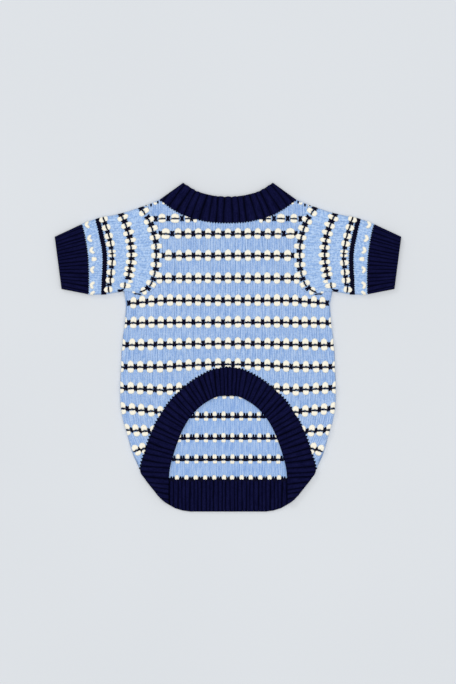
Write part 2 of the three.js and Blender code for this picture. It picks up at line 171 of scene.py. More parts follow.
def sleeve_spot(out, v):
    """Place on the right sleeve: out from the armhole, v from underarm 0 to shoulder 1."""
    out, v = np.broadcast_arrays(np.asarray(out, float), np.asarray(v, float))
    lines = np.stack([spline(line, v) for line in SLEEVE_LINES])
    upper = np.clip(np.searchsorted(SLEEVE_OUT, out), 1, len(SLEEVE_OUT) - 1)
    share = (out - SLEEVE_OUT[upper - 1]) / (SLEEVE_OUT[upper] - SLEEVE_OUT[upper - 1])
    low = np.take_along_axis(lines, (upper - 1)[None, ..., None], 0)[0]
    high = np.take_along_axis(lines, upper[None, ..., None], 0)[0]
    return low + (high - low) * share[..., None]


def cuff_spot(t, v):
    """Place on the right cuff: t from its seam 0 to its free end 1, v as on the sleeve."""
    t, v = np.broadcast_arrays(np.asarray(t, float), np.asarray(v, float))
    seam = sleeve_spot(np.full(v.shape, SLEEVE_OUT[-1]), v)
    end = CUFF_UNDER + (CUFF_TOP - CUFF_UNDER) * v[..., None]
    first = GAP / CUFF_LENGTH
    return seam + (end - seam) * (first + (1 - first) * t)[..., None]


def band_spot(inner, outer, u, v):
    """Place on a band: u from -1 to 1 along it, v from its inner to its outer line."""
    u, v = np.broadcast_arrays(np.asarray(u, float), np.asarray(v, float))
    middle = (np.array(inner, float) + np.array(outer, float)) / 2
    share = evenly(middle, np.abs(u))
    low, high = spline(inner, share), spline(outer, share)
    spot = low + (high - low) * v[..., None]
    return spot * np.stack([np.where(u < 0, -1, 1), np.ones(u.shape)], -1)


# %% Places on the front
def row_height(row, x):
    """Height of a place between the stripe rows, which are numbered from the neck down."""
    away = np.abs(x)
    inner = ROW_MIDDLE + (ROW_FLANK - ROW_MIDDLE) * (away[..., None] / FLANK) ** 2
    outward = (away[..., None] - FLANK) / (SIDE_EDGE - FLANK)
    outer = ROW_FLANK + (ROW_SIDE - ROW_FLANK) * outward
    lines = np.where(away[..., None] < FLANK, inner, outer)
    at = np.clip(row, 0, len(ROW_MIDDLE) - 1.001)
    first = at.astype(int)[..., None]
    low = np.take_along_axis(lines, first, -1)[..., 0]
    high = np.take_along_axis(lines, first + 1, -1)[..., 0]
    return low + (high - low) * (at - first[..., 0]) - (row - at) * ROW_PITCH


def front_spot(wale, row):
    """Place on the front: wales counted from the middle, rows from the neck down."""
    wale, row = np.broadcast_arrays(np.asarray(wale, float), np.asarray(row, float))
    x = np.interp(np.abs(wale) / WALES_A_BOBBLE, range(len(COLUMN_X)), COLUMN_X) * np.sign(wale)
    y = row_height(row, x)
    spread = np.maximum(np.abs(x) - SPREAD_FROM, 0) * np.interp(y, SPREAD_Y, SPREAD)
    x = (x + np.sign(x) * spread) * np.interp(y, NARROWING_Y, NARROWING)
    return np.stack([x, row_height(row, x)], -1)


# %% Outlines of the panels
def mirrored(half):
    """A closed outline from its half at +X."""
    return np.concatenate([half, half[::-1] * [-1, 1]])


SEWN_GAP = 0.02
SIDE_STEP = 1.5


def neck_to_underarm():
    neck = moved(spline(COLLAR_SEAM, np.linspace(0, 1, 40)), -SEWN_GAP)
    armhole = moved(sleeve_spot(0, np.linspace(1, 0, 60)), -SEWN_GAP)
    return np.concatenate([neck, armhole])


def side_line(bottom):
    y = np.arange(UNDERARM_Y, bottom, -SIDE_STEP)
    return np.stack([half_width(y), y], 1)


def arch_seam(count):
    """The belly band's seam, from the middle of the arch to the body's side edge."""
    return spline(ARCH_SEAM, np.linspace(0, ARCH_SIDE_ROW / (len(ARCH_SEAM) - 1), count))


arch = moved(arch_seam(90), SEWN_GAP)
arch = arch[arch[:, 0] < half_width(arch[:, 1])][::-1]
top_half = neck_to_underarm()
FRONT_OUTLINE = mirrored(np.concatenate([top_half, side_line(arch[0, 1]), arch]))
foot = HEM_TOP + GAP
corner = np.array([[half_width(foot), foot]])
BACK_OUTLINE = mirrored(np.concatenate([top_half, side_line(foot), corner]))


def inside(points, outline):
    """Which points lie in a closed outline."""
    x, y = points[..., 0], points[..., 1]
    odd = np.zeros(x.shape, bool)
    for a, b in zip(outline, np.roll(outline, -1, 0)):
        if a[1] == b[1]:
            continue
        crosses = (a[1] > y) != (b[1] > y)
        odd ^= crosses & (x < a[0] + (y - a[1]) / (b[1] - a[1]) * (b[0] - a[0]))
    return odd


def nearest(points, outline):
    """Closest place of the outline to each point."""
    along = np.roll(outline, -1, 0) - outline
    reach = points[:, None] - outline
    share = (reach * along).sum(-1) / np.maximum((along**2).sum(-1), 1e-9)
    spots = outline + np.clip(share, 0, 1)[..., None] * along
    pick = np.argmin(np.linalg.norm(points[:, None] - spots, axis=-1), 1)
    return spots[np.arange(len(points)), pick]


FINE_STEP, LOOK_AHEAD, NEXT_STEP = 0.05, 20, 0.004


def followed(points, outline):
    """The outline's places closest to a loop of points, in the loop's own order."""
    closed = np.concatenate([outline, outline[:1]])
    length = np.concatenate([[0], np.cumsum(np.linalg.norm(np.diff(closed, axis=0), axis=1))])
    place = np.arange(0, length[-1], FINE_STEP)
    fine = np.stack([np.interp(place, length, closed[:, k]) for k in (0, 1)], 1)
    at = place[np.argmin(np.linalg.norm(fine - points[0], axis=1))]
    places = [at]
    for point in points[1:]:
        ahead = at + np.arange(0, LOOK_AHEAD, FINE_STEP)
        near = fine[(ahead / FINE_STEP).astype(int) % len(fine)]
        at = max(at + NEXT_STEP, ahead[np.argmin(np.linalg.norm(near - point, axis=1))])
        places.append(at)
    places = np.array(places) % length[-1]
    return np.stack([np.interp(places, length, closed[:, k]) for k in (0, 1)], 1)


def area_of(outline):
    """Area that an outline encloses, in square metres."""
    after = np.roll(outline, -1, 0)
    return abs((outline[:, 0] * after[:, 1] - after[:, 0] * outline[:, 1]).sum()) / 2 * MM**2


print("front", round(area_of(FRONT_OUTLINE), 4), "m2, back", round(area_of(BACK_OUTLINE), 4), "m2")


# %% [markdown]
# ## Meshes of knit
# A panel is a grid that follows the wales and courses of its knit, so that ridges and pattern can
# run with them. The grid is cut to the outline by keeping the cells inside it and pulling the
# border onto the line. Then the border is carried down to a flat base, which makes a closed sheet.

# %% Mesh helpers
def piece_of(name, points, faces, **attributes):
    """An object at the origin, from points in millimetres, with a value on each point."""
    mesh = bpy.data.meshes.new(name)
    mesh.from_pydata((np.asarray(points, float) * MM).tolist(), [], faces)
    for key, values in attributes.items():
        layer = mesh.attributes.new(key, "FLOAT", "POINT")
        layer.data.foreach_set("value", np.asarray(values, np.float32).ravel())
    mesh.polygons.foreach_set("use_smooth", [True] * len(mesh.polygons))
    mesh.update()
    made = bpy.data.objects.new(name, mesh)
    bpy.context.scene.collection.objects.link(made)
    return made


def border_of(quads):
    """The border of a patch of faces, as one loop of points in their own direction."""
    edges = np.concatenate([quads[:, [i, (i + 1) % 4]] for i in range(4)])
    size = int(quads.max()) + 1
    keys = edges[:, 0] * size + edges[:, 1]
    lone = edges[~np.isin(keys, edges[:, 1] * size + edges[:, 0])]
    following = dict(lone.tolist())
    loop = [int(lone[0, 0])]
    while following[loop[-1]] != loop[0]:
        loop.append(following[loop[-1]])
    return np.array(loop)


def outward(line):
    """Directions out of a closed line that runs anticlockwise."""
    along = np.roll(line, -1, 0) - np.roll(line, 1, 0)
    along /= np.maximum(np.linalg.norm(along, axis=1), 1e-9)[:, None]
    return np.stack([along[:, 1], -along[:, 0]], 1)


def close_below(name, top, quads, rings, **attributes):
    """Closes a patch: rings of (inset, height) run down from its border to a flat base."""
    loop = border_of(quads)
    line = top[loop, :2]
    out = outward(line)
    points, faces = [top], [quads.tolist()]
    above, count = loop, len(top)
    for inset, height in rings:
        ring = np.column_stack([line - inset * out, np.full(len(loop), height)])
        below = count + np.arange(len(loop))
        points.append(ring)
        faces.append(np.stack([above, below, np.roll(below, -1), np.roll(above, -1)], 1).tolist())
        above, count = below, count + len(loop)
    kept = {}
    for key, values in attributes.items():
        extra = np.tile(np.asarray(values).ravel()[loop], len(rings))
        kept[key] = np.concatenate([np.ravel(values), extra * (key != "lift")])
    base = [above[::-1].tolist()]
    made = piece_of(name, np.concatenate(points), sum(faces, []) + base, **kept)
    flat = bmesh.new()
    flat.from_mesh(made.data)
    flat.faces.ensure_lookup_table()
    bmesh.ops.triangulate(flat, faces=[flat.faces[-1]], ngon_method="EAR_CLIP")
    flat.to_mesh(made.data)
    flat.free()
    return made


def grid_quads(rows, columns):
    """Faces of a grid whose rows run to +Y and columns to +X."""
    index = np.arange(rows * columns).reshape(rows, columns)
    return np.stack([index[:-1, :-1], index[:-1, 1:], index[1:, 1:], index[1:, :-1]], -1)


def cut_to(outline, spots):
    """Faces of a grid that lie in an outline, and the grid with its border pulled onto it."""
    within = inside(spots, outline)
    keep = within[:-1, :-1] & within[1:, :-1] & within[1:, 1:] & within[:-1, 1:]
    a, b, c, d = keep[:-1, :-1], keep[:-1, 1:], keep[1:, :-1], keep[1:, 1:]
    corners_only = (a & d & ~b & ~c) | (b & c & ~a & ~d)
    a[corners_only] = b[corners_only] = False
    quads = grid_quads(*within.shape)[keep]
    used, quads = np.unique(quads, return_inverse=True)
    quads = quads.reshape(-1, 4)
    flat = spots.reshape(-1, 2)[used]
    loop = border_of(quads)
    flat[loop] = followed(flat[loop], outline[::-1])
    return flat, quads, used


def fall(distance, radius=FOLD_RADIUS):
    """How far a rounded edge has fallen there: 0 on the flat and 1 at the very edge."""
    near = np.clip(1 - distance / radius, 0, 1)
    return 1 - np.sqrt(1 - near**2)


# %% [markdown]
# ## Ridges and ribs
# Every column of knit stands a little proud of the groove beside it, and a rib stands far
# prouder. Geometry Nodes raise both with one tree: each point knows where it lies in its column,
# and the tree lifts it by a rounded profile of that place. It is the rule that a knitting machine
# follows, and its height and fullness stay easy to change.

# %% Tree that raises columns
def tree_with(name, **sockets):
    """A Geometry Nodes tree with a geometry going in and out, and named inputs."""
    tree = bpy.data.node_groups.new(name, "GeometryNodeTree")
    tree.interface.new_socket("Geometry", in_out="INPUT", socket_type="NodeSocketGeometry")
    tree.interface.new_socket("Geometry", in_out="OUTPUT", socket_type="NodeSocketGeometry")
    for key, kind in sockets.items():
        label = key.replace("_", " ")
        tree.interface.new_socket(label, in_out="INPUT", socket_type="NodeSocket" + kind)
    return tree


def wire(tree, kind, inputs=(), **settings):
    """Adds a node, sets its settings and fills its inputs with values or other outputs."""
    made = tree.nodes.new(kind)
    for key, value in settings.items():
        setattr(made, key, value)
    for key, value in dict(inputs).items():
        if isinstance(value, bpy.types.NodeSocket):
            tree.links.new(value, made.inputs[key])
        else:
            made.inputs[key].default_value = value
    return made


def sum_of(tree, operation, *values):
    """Output of a math node on values or other outputs."""
    return wire(tree, "ShaderNodeMath", enumerate(values), operation=operation).outputs[0]


def from_middle(tree, count):
    """How far off the middle of its column a place is: 0 there and 1 in the groove."""
    place = sum_of(tree, "FRACT", count)
    return sum_of(tree, "ABSOLUTE", sum_of(tree, "MULTIPLY_ADD", place, 2.0, -1.0))


def named(tree, attribute):
    node = wire(tree, "GeometryNodeInputNamedAttribute", {"Name": attribute}, data_type="FLOAT")
    return node.outputs["Attribute"]


def ended(tree, geometry, material):
    """Ends a tree: what it made goes out as real geometry in the given material."""
    real = wire(tree, "GeometryNodeRealizeInstances", {0: geometry})
    dressed = wire(tree, "GeometryNodeSetMaterial",
                   {"Geometry": real.outputs[0], "Material": material})
    tree.links.new(dressed.outputs[0], tree.nodes.new("NodeGroupOutput").inputs[0])
    return tree


def columns_tree():
    tree = tree_with("raise_columns", Height="Float", Fullness="Float", Material="Material")
    given = tree.nodes.new("NodeGroupInput").outputs
    aside = from_middle(tree, named(tree, "column"))
    round_top = sum_of(tree, "SUBTRACT", 1.0, sum_of(tree, "POWER", aside, given["Fullness"]))
    lift = sum_of(tree, "MULTIPLY", round_top, named(tree, "lift"))
    rise = sum_of(tree, "MULTIPLY", lift, given["Height"])
    up = wire(tree, "ShaderNodeCombineXYZ", {"Z": rise}).outputs[0]
    moved_up = wire(tree, "GeometryNodeSetPosition", {"Geometry": given["Geometry"], "Offset": up})
    return ended(tree, moved_up.outputs[0], given["Material"])


COLUMNS = columns_tree()
# How far the columns of plain knit and of rib stand out, and how full they are
PLAIN, RIBBED = (0.3, 2.2), (0.9, 4.0)


def through(piece, tree, **values):
    """Runs a tree over a piece, and keeps the result as the piece's plain mesh."""
    step = piece.modifiers.new(tree.name, "NODES")
    step.node_group = tree
    for item in tree.interface.items_tree:
        key = item.name.replace(" ", "_")
        if item.in_out == "INPUT" and key in values:
            step[item.identifier] = values[key]
    graph = bpy.context.evaluated_depsgraph_get()
    mesh = bpy.data.meshes.new_from_object(
        piece.evaluated_get(graph), preserve_all_data_layers=True, depsgraph=graph)
    piece.modifiers.clear()
    plain, piece.data = piece.data, mesh
    bpy.data.meshes.remove(plain)
    mesh.name = piece.name
    return piece


def raised(piece, material, relief):
    """A piece with its columns raised, dressed in its material."""
    height, fullness = relief
    through(piece, COLUMNS, Height=height * MM, Fullness=fullness, Material=material)
    print(piece.name, len(piece.data.polygons), "faces")
    return piece


# %% [markdown]
# ## Finishes
# The blue yarn is heathered: pale and darker fibres lie in streaks along each column of stitches,
# and speckle it. The stitches themselves are small Vs. Streaks and Vs follow the knit, so they are
# built on each point's count of columns and courses, not on its place in the room. The shade in the
# groove round each V and between the columns is painted into the colour as well, deeper in some
# streaks than in others. The navy rib is the same knit in a very dark blue, with the shade in its
# grooves painted near black. The plump cream and navy stitches are loose yarn, with fine twisted
# fibres.

# %% Shared effects
def effect(name, inputs, outputs):
    """A group of shader nodes, with what goes into it and what comes out of it."""
    tree = bpy.data.node_groups.new(name, "ShaderNodeTree")
    for label, kind, value in inputs:
        socket = tree.interface.new_socket(label, in_out="INPUT", socket_type="NodeSocket" + kind)
        if value is not None:
            socket.default_value = value
    for label, kind in outputs:
        tree.interface.new_socket(label, in_out="OUTPUT", socket_type="NodeSocket" + kind)
    return tree, tree.nodes.new("NodeGroupInput").outputs, tree.nodes.new("NodeGroupOutput").inputs


def knit_effect():
    """V stitches: their height, the shade round each, and the shade between columns."""
    tree, given, result = effect(
        "knit_stitches",
        [("Wale", "Float", 0), ("Course", "Float", 0), ("Column", "Float", 0),
         ("Lean", "Float", 0.8), ("Narrowness", "Float", 3.4)],
        [("Height", "Float"), ("Groove", "Float"), ("Gap", "Float")])
    leg = from_middle(tree, given["Wale"])
    slant = sum_of(tree, "MULTIPLY", leg, given["Lean"])
    phase = sum_of(tree, "FRACT", sum_of(tree, "ADD", given["Course"], slant))
    bead = sum_of(tree, "SINE", sum_of(tree, "MULTIPLY", phase, math.pi))
    middle = sum_of(tree, "MULTIPLY_ADD", leg, 2.0, -1.0)
    round_leg = sum_of(tree, "SUBTRACT", 1.0, sum_of(tree, "MULTIPLY", middle, middle))
    height = sum_of(tree, "MULTIPLY", round_leg, sum_of(tree, "MULTIPLY_ADD", bead, 0.55, 0.45))
    tree.links.new(height, result["Height"])
    tree.links.new(sum_of(tree, "SUBTRACT", 1.0, height), result["Groove"])
    aside = from_middle(tree, given["Column"])
    tree.links.new(sum_of(tree, "POWER", aside, given["Narrowness"]), result["Gap"])
    return tree


def heather_and_shade_effect():
    """Streaks of paler and darker fibre that run along the columns, and how deep the painted
    shade between the columns lies, in broad patches.
    """
    tree, given, result = effect(
        "heather",
        [("Wale", "Float", 0), ("Course", "Float", 0), ("Along", "Float", 0.1)],
        [("Streak", "Float"), ("Depth", "Float")])
    long = sum_of(tree, "MULTIPLY", given["Course"], given["Along"])
    spot = wire(tree, "ShaderNodeCombineXYZ", {"X": given["Wale"], "Y": long}).outputs[0]
    streak = wire(tree, "ShaderNodeTexNoise", {"Vector": spot, "Scale": 1.5, "Detail": 2.5,
                                               "Roughness": 0.7})
    tree.links.new(streak.outputs[0], result["Streak"])
    # How deep the painted shade between the columns lies, in broad patches
    shifted = wire(tree, "ShaderNodeVectorMath", {0: spot, 1: (7.3, 2.1, 0)}).outputs[0]
    shade_depth = wire(tree, "ShaderNodeTexNoise", {"Vector": shifted, "Scale": 0.8, "Detail": 1.0})
    spread = wire(tree, "ShaderNodeMapRange", {"Value": shade_depth.outputs[0], "From Min": 0.35,
                                               "From Max": 0.65}).outputs[0]
    tree.links.new(spread, result["Depth"])
    return tree


def fibre_effect():
    """Fine fuzz and twist of loose yarn."""
    tree, given, result = effect(
        "fibres",
        [("Vector", "Vector", None), ("Fineness", "Float", 900)],
        [("Height", "Float"), ("Tone", "Float")])
    fuzz = wire(tree, "ShaderNodeTexNoise", {"Vector": given["Vector"], "Detail": 4.0,
                                             "Scale": given["Fineness"], "Roughness": 0.7})
    twist = wire(tree, "ShaderNodeTexWave",
                 {"Vector": given["Vector"], "Distortion": 6.0, "Detail": 2.0,
                  "Scale": sum_of(tree, "MULTIPLY", given["Fineness"], 0.4)},
                 bands_direction="DIAGONAL")
    mix = sum_of(tree, "MULTIPLY_ADD", twist.outputs["Fac"], 0.4, fuzz.outputs[0])
    tree.links.new(mix, result["Height"])
    tree.links.new(fuzz.outputs[0], result["Tone"])
    return tree


KNIT, HEATHER_AND_SHADE, FIBRES = knit_effect(), heather_and_shade_effect(), fibre_effect()


# %% Knit material
def group(tree, effect_tree, **inputs):
    return wire(tree, "ShaderNodeGroup", inputs, node_tree=effect_tree).outputs


def ramp(tree, value, stops):
    """Colour for a value, from stops of (place, colour)."""
    made = wire(tree, "ShaderNodeValToRGB", {"Fac": value})
    elements = made.color_ramp.elements
    while len(elements) < len(stops):
        elements.new(0.5)
    for element, (place, colour) in zip(elements, stops):
        element.position = place
        element.color = (*colour, 1)
    return made.outputs["Color"]


def darkened(tree, colour, mask, share):
    """The colour multiplied down where a mask is 1."""
    dim = sum_of(tree, "MULTIPLY_ADD", mask, -share, 1.0)
    grey = wire(tree, "ShaderNodeCombineColor", {"Red": dim, "Green": dim, "Blue": dim})
    made = wire(tree, "ShaderNodeMix", {"Factor": 1.0, 6: colour, 7: grey.outputs[0]},
                data_type="RGBA", blend_type="MULTIPLY")
    return made.outputs[2]


def matt_material(name, shine, **settings):
    """A rough material, with its tree and its shader."""
    material = bpy.data.materials.new(name)
    material.use_nodes = True
    shader = material.node_tree.nodes["Principled BSDF"]
    settings.update(Roughness=0.9, Specular_IOR_Level=shine)
    for key, value in settings.items():
        shader.inputs[key.replace("_", " ")].default_value = value
    return material, material.node_tree, shader


def cloth_material(name, sheen, shine):
    return matt_material(name, shine, Sheen_Weight=sheen, Sheen_Roughness=0.5)


def object_spot(tree):
    return tree.nodes.new("ShaderNodeTexCoord").outputs["Object"]


def bumped(tree, shader, height, strength, distance):
    bump = wire(tree, "ShaderNodeBump",
                {"Height": height, "Strength": strength, "Distance": distance})
    tree.links.new(bump.outputs[0], shader.inputs["Normal"])


def attribute(tree, name):
    return wire(tree, "ShaderNodeAttribute", attribute_name=name).outputs["Fac"]


BUMP = 0.5
YARN_FINENESS = 1400.0


def knit_material(name, stops, groove=0.12, gap=0.24, even=0.5, sheen=0.05, shine=0.15,
                  narrow=3.4, speckle=0.5, fineness=900.0):
    """Knit, with painted shade in the groove round each stitch and in the gap between columns,
    by the shares groove and gap, evenly or in streaks.
    """
    material, tree, shader = cloth_material(name, sheen, shine)
    wale, course = attribute(tree, "wale"), attribute(tree, "course")
    heather = group(tree, HEATHER_AND_SHADE, Wale=wale, Course=course)
    stitch = group(tree, KNIT, Wale=wale, Course=course, Column=attribute(tree, "column"),
                   Narrowness=narrow)
    fibre = group(tree, FIBRES, Vector=object_spot(tree), Fineness=fineness)
    # The yarn's own tone: paler and darker streaks and fibre speckle
    tone = sum_of(tree, "SUBTRACT", fibre["Tone"], 0.5)
    shade = sum_of(tree, "MULTIPLY_ADD", tone, speckle, heather["Streak"])
    # Painted shade: darker in the groove round each stitch
    colour = darkened(tree, ramp(tree, shade, stops), stitch["Groove"], groove)
    # Painted shade: darker in the gap between columns, deeper in some streaks than in others
    deep = sum_of(tree, "MULTIPLY_ADD", heather["Depth"], 1.0 - even, even)
    colour = darkened(tree, colour, sum_of(tree, "MULTIPLY", stitch["Gap"], deep), gap)
    tree.links.new(colour, shader.inputs["Base Color"])
    relief = sum_of(tree, "MULTIPLY_ADD", fibre["Height"], 0.35, stitch["Height"])
    bumped(tree, shader, relief, BUMP, 0.4 * MM)
    return material


def yarn_material(name, stops, sheen, shine):
    material, tree, shader = cloth_material(name, sheen, shine)
    fibre = group(tree, FIBRES, Vector=object_spot(tree), Fineness=YARN_FINENESS)
    tree.links.new(ramp(tree, fibre["Tone"], stops), shader.inputs["Base Color"])
    bumped(tree, shader, fibre["Height"], BUMP, 0.3 * MM)
    return material


# %% The finishes
# groove and gap: how far painted shade darkens each knit round its stitches and between columns
BLUE = knit_material(
    "blue_knit",
    [(0.35, (0.26, 0.43, 0.78)), (0.5, (0.38, 0.55, 0.88)), (0.65, (0.50, 0.66, 0.93))],
    gap=0.36, even=0.35, speckle=0.9)
BLUE_SOFT = knit_material(
    "blue_knit_soft",
    [(0.35, (0.25, 0.42, 0.80)), (0.5, (0.36, 0.54, 0.88)), (0.65, (0.48, 0.64, 0.93))],
    gap=0.2, even=0.4)
BLUE_SLEEVE = knit_material(
    "blue_knit_sleeve",
    [(0.3, (0.31, 0.49, 0.84)), (0.5, (0.405, 0.595, 0.92)), (0.7, (0.51, 0.69, 0.98))],
    speckle=3.4, fineness=550.0)
# Painted shade makes the grooves between the ribs near black
NAVY_RIB = knit_material(
    "navy_rib", [(0.3, (0.003, 0.0035, 0.026)), (0.7, (0.008, 0.009, 0.054))],
    groove=0.2, gap=0.97, even=0.8, sheen=0.0, shine=0.02, narrow=2.6, speckle=1.2)
CREAM = yarn_material("cream_yarn", [(0.3, (0.94, 0.87, 0.69)), (0.6, (1.0, 0.97, 0.85))],
                      sheen=0.2, shine=0.2)
NAVY = yarn_material("navy_yarn", [(0.3, (0.002, 0.002, 0.008)), (0.7, (0.004, 0.004, 0.022))],
                     sheen=0.01, shine=0.04)
print("finishes:", ", ".join(m.name for m in (BLUE, BLUE_SOFT, BLUE_SLEEVE, NAVY_RIB, CREAM, NAVY)))

# %% [markdown]
# ## Front and back
# The front is a single layer of knit from the neck down to the seam of the belly band. Its
# columns run from neck to hem and lean in where the body narrows. The back is the longer layer
# below it. Only the part inside the arch shows, so only that part has a fine grid.

# %% Front panel
COLUMN_STEP = 0.25
ROW_STEP = 1 / 22
COURSES_A_ROW = 11
OUTER_WALE = 46
LAST_ROW, FIRST_ROW = 12.6, -1.1
EDGE_LIP = 0.1


def front_panel():
    wales = np.arange(-OUTER_WALE, OUTER_WALE + COLUMN_STEP / 2, COLUMN_STEP)
    rows = np.arange(LAST_ROW, FIRST_ROW, -ROW_STEP)
    spots = front_spot(wales[None, :], rows[:, None])
    flat, quads, used = cut_to(FRONT_OUTLINE, spots)
    edge = half_width(flat[:, 1]) - np.abs(flat[:, 0])
    low = FRONT_BASE + EDGE_LIP
    top = np.column_stack([flat, low + (FRONT_TOP - low) * (1 - fall(edge))])
    wale = np.broadcast_to(wales[None, :], spots.shape[:2]).ravel()[used]
    course = np.broadcast_to(rows[:, None] * -COURSES_A_ROW, spots.shape[:2]).ravel()[used]
    made = close_below("front_knit", top, quads, [(0, FRONT_BASE)],
                       wale=wale, course=course, column=wale, lift=1 - fall(edge))
    return raised(made, BLUE, PLAIN)


front = front_panel()


# %% Back panel
def fine_and_coarse(low, high, fine, coarse, end):
    """Places from end to end, fine from low to high and coarse elsewhere."""
    inner = np.arange(low, high + fine / 2, fine)
    after = np.linspace(inner[-1], end[1], max(2, round((end[1] - inner[-1]) / coarse)))[1:]
    before = np.linspace(end[0], low, max(2, round((low - end[0]) / coarse)))[:-1]
    return np.concatenate([before, inner, after])


INSIDE_WALE = 2.1
INSIDE_HALF, INSIDE_TOP = 58, -40
INSIDE_STEP, HIDDEN_STEP = 1.0, 3
BACK_HALF, BACK_TOP = 101, 140


def back_panel():
    x = fine_and_coarse(-INSIDE_HALF, INSIDE_HALF, INSIDE_WALE / 4, HIDDEN_STEP,
                        (-BACK_HALF, BACK_HALF))
    y = fine_and_coarse(foot, INSIDE_TOP, INSIDE_STEP, HIDDEN_STEP, (foot - 1, BACK_TOP))
    spots = np.stack(np.meshgrid(x, y), -1)
    flat, quads, used = cut_to(BACK_OUTLINE, spots)
    top = np.column_stack([flat, np.full(len(flat), WALL)])
    wale = flat[:, 0] / INSIDE_WALE
    shows = (np.abs(flat[:, 0]) < INSIDE_HALF) & (flat[:, 1] < INSIDE_TOP)
    made = close_below("back_knit", top, quads, [(0.2, 1.1), (0.8, 0)],
                       wale=wale, course=flat[:, 1] / COURSE, column=wale, lift=shows)
    return raised(made, BLUE_SOFT, PLAIN)


back = back_panel()


# %% [markdown]
# ## Rib bands
# Rib is knit whose columns stand in thick ridges with deep grooves between them, so it is
# stretchy. The belly band and the hem band are one layer, and are made as long grids that follow
# their two edges, a dozen points to each rib, with the tree above raising the ribs. No hand-knitted
# rib runs quite straight, so these lean and are a little uneven.

# %% Lean of the ribs
# How many ribs' width each rib leans over on its way across the band, from the middle out
BELLY_LEAN = [(0, 0), (0.3, 0.45), (0.6, 0.8), (0.85, 0.6), (1, 0.3)]
COLLAR_LEAN = [(0, 0), (0.2, -0.4), (0.6, -0.5), (1, -0.9)]
CUFF_LEAN = -0.35
# Above 1, ribs lie closer together at the top of the arch than along its legs
BELLY_SPREAD = 1.087
# Two waves that shift the ribs: how far, how fast along the ribs and how fast across the band
SHIFTS = [(0.1, 1.9, 0), (0.05, 4.1, 3)]


def lean_at(table, u):
    """Lean of the rib at u, from -1 to 1 along the band, the same way out on both sides."""
    return np.sign(u) * np.interp(np.abs(u), *np.transpose(table))


def rib_places(rib, leans, v):
    """Count of ribs at each place, v across the band: they lean and are a little uneven."""
    place = leaned = rib + leans * (v - 0.5)
    for size, along, over in SHIFTS:
        place = place + size * np.sin(along * leaned + over * v)
    return place


# %% Belly band and hem band
POINTS_A_RIB = 12
BAND_EDGE = 1.6
EDGE_FLATNESS = 0.6


def across(count, width, edge):
    """Places across a band, closer together near its two edges."""
    near = edge / width * np.array([0, 0.06, 0.2, 0.45, 1])
    return np.concatenate([near, np.linspace(near[-1], 1 - near[-1], count)[1:-1], 1 - near[::-1]])


def band(name, spots, ribs, leans, v, width, base, top, low):
    """A closed band from its grid of places, with rows across it and columns along it."""
    edge = np.minimum(v, 1 - v) * width
    height = low + (top - low) * (1 - fall(edge, BAND_EDGE))
    rows, columns = spots.shape[:2]
    grid = np.concatenate([spots, np.broadcast_to(height[:, None, None], (rows, columns, 1))], -1)
    rib = rib_places(ribs[None, :], leans, v[:, None])
    course = np.broadcast_to((v * width / COURSE)[:, None], (rows, columns))
    lift = np.broadcast_to((1 - EDGE_FLATNESS * fall(edge, BAND_EDGE))[:, None], (rows, columns))
    quads = grid_quads(rows, columns).reshape(-1, 4)
    made = close_below(name, grid.reshape(-1, 3), quads, [(0, base)], column=rib, wale=rib * 2,
                       course=course, lift=lift)
    return raised(made, NAVY_RIB, RIBBED)


BELLY_WIDTH, BELLY_ROWS, BELLY_LIP = 26, 18, 0.9
way = np.linspace(-1, 1, BELLY_RIBS * POINTS_A_RIB + 1)
u = np.sign(way) * np.abs(way) ** BELLY_SPREAD
v = across(BELLY_ROWS, BELLY_WIDTH, BAND_EDGE)
belly = band("belly_rib", band_spot(ARCH_FREE, ARCH_SEAM, u[None, :], v[:, None]),
             (way + 1) / 2 * BELLY_RIBS, lean_at(BELLY_LEAN, u), v, BELLY_WIDTH, FRONT_BASE,
             BAND_TOP, FRONT_BASE + BELLY_LIP)


def hem_spots(x, v):
    """Places on the hem band, v from its free edge up to its seam."""
    edge = np.interp(np.abs(x), *np.transpose(HEM_EDGE))
    return np.stack(np.broadcast_arrays(x[None, :], edge + (HEM_TOP - edge) * v[:, None]), -1)


HEM_WIDTH, HEM_ROWS, HEM_LIP = 30.7, 20, 1.1
HIDDEN_END_STEP = 2.2
ends = np.arange(HEM_OPEN, HEM_EDGE[-1][0], HIDDEN_END_STEP)[1:]
open_part = np.linspace(-HEM_OPEN, HEM_OPEN, HEM_RIBS * POINTS_A_RIB + 1)
x = np.concatenate([-ends[::-1], open_part, ends])
ribs = (np.clip(x / HEM_OPEN, -1, 1) + 1) / 2 * HEM_RIBS
v = across(HEM_ROWS, HEM_WIDTH, BAND_EDGE)
hem = band("hem_rib", hem_spots(x, v), ribs, 0.0 * x, v, HEM_WIDTH, 0, WALL, HEM_LIP)

# %% [markdown]
# ## Tubes
# The sleeves, the cuffs and the collar are tubes pressed flat: an upper and a lower layer that
# meet in a round fold at each side, with the opening between them. Each ring of points runs over
# the top layer and back under the lower one, and a second ring inside it is the hollow.


# %% Tube builder
UNDER_POINTS, HOLLOW_RINGS, TOP_ROW = 14, 7, 5


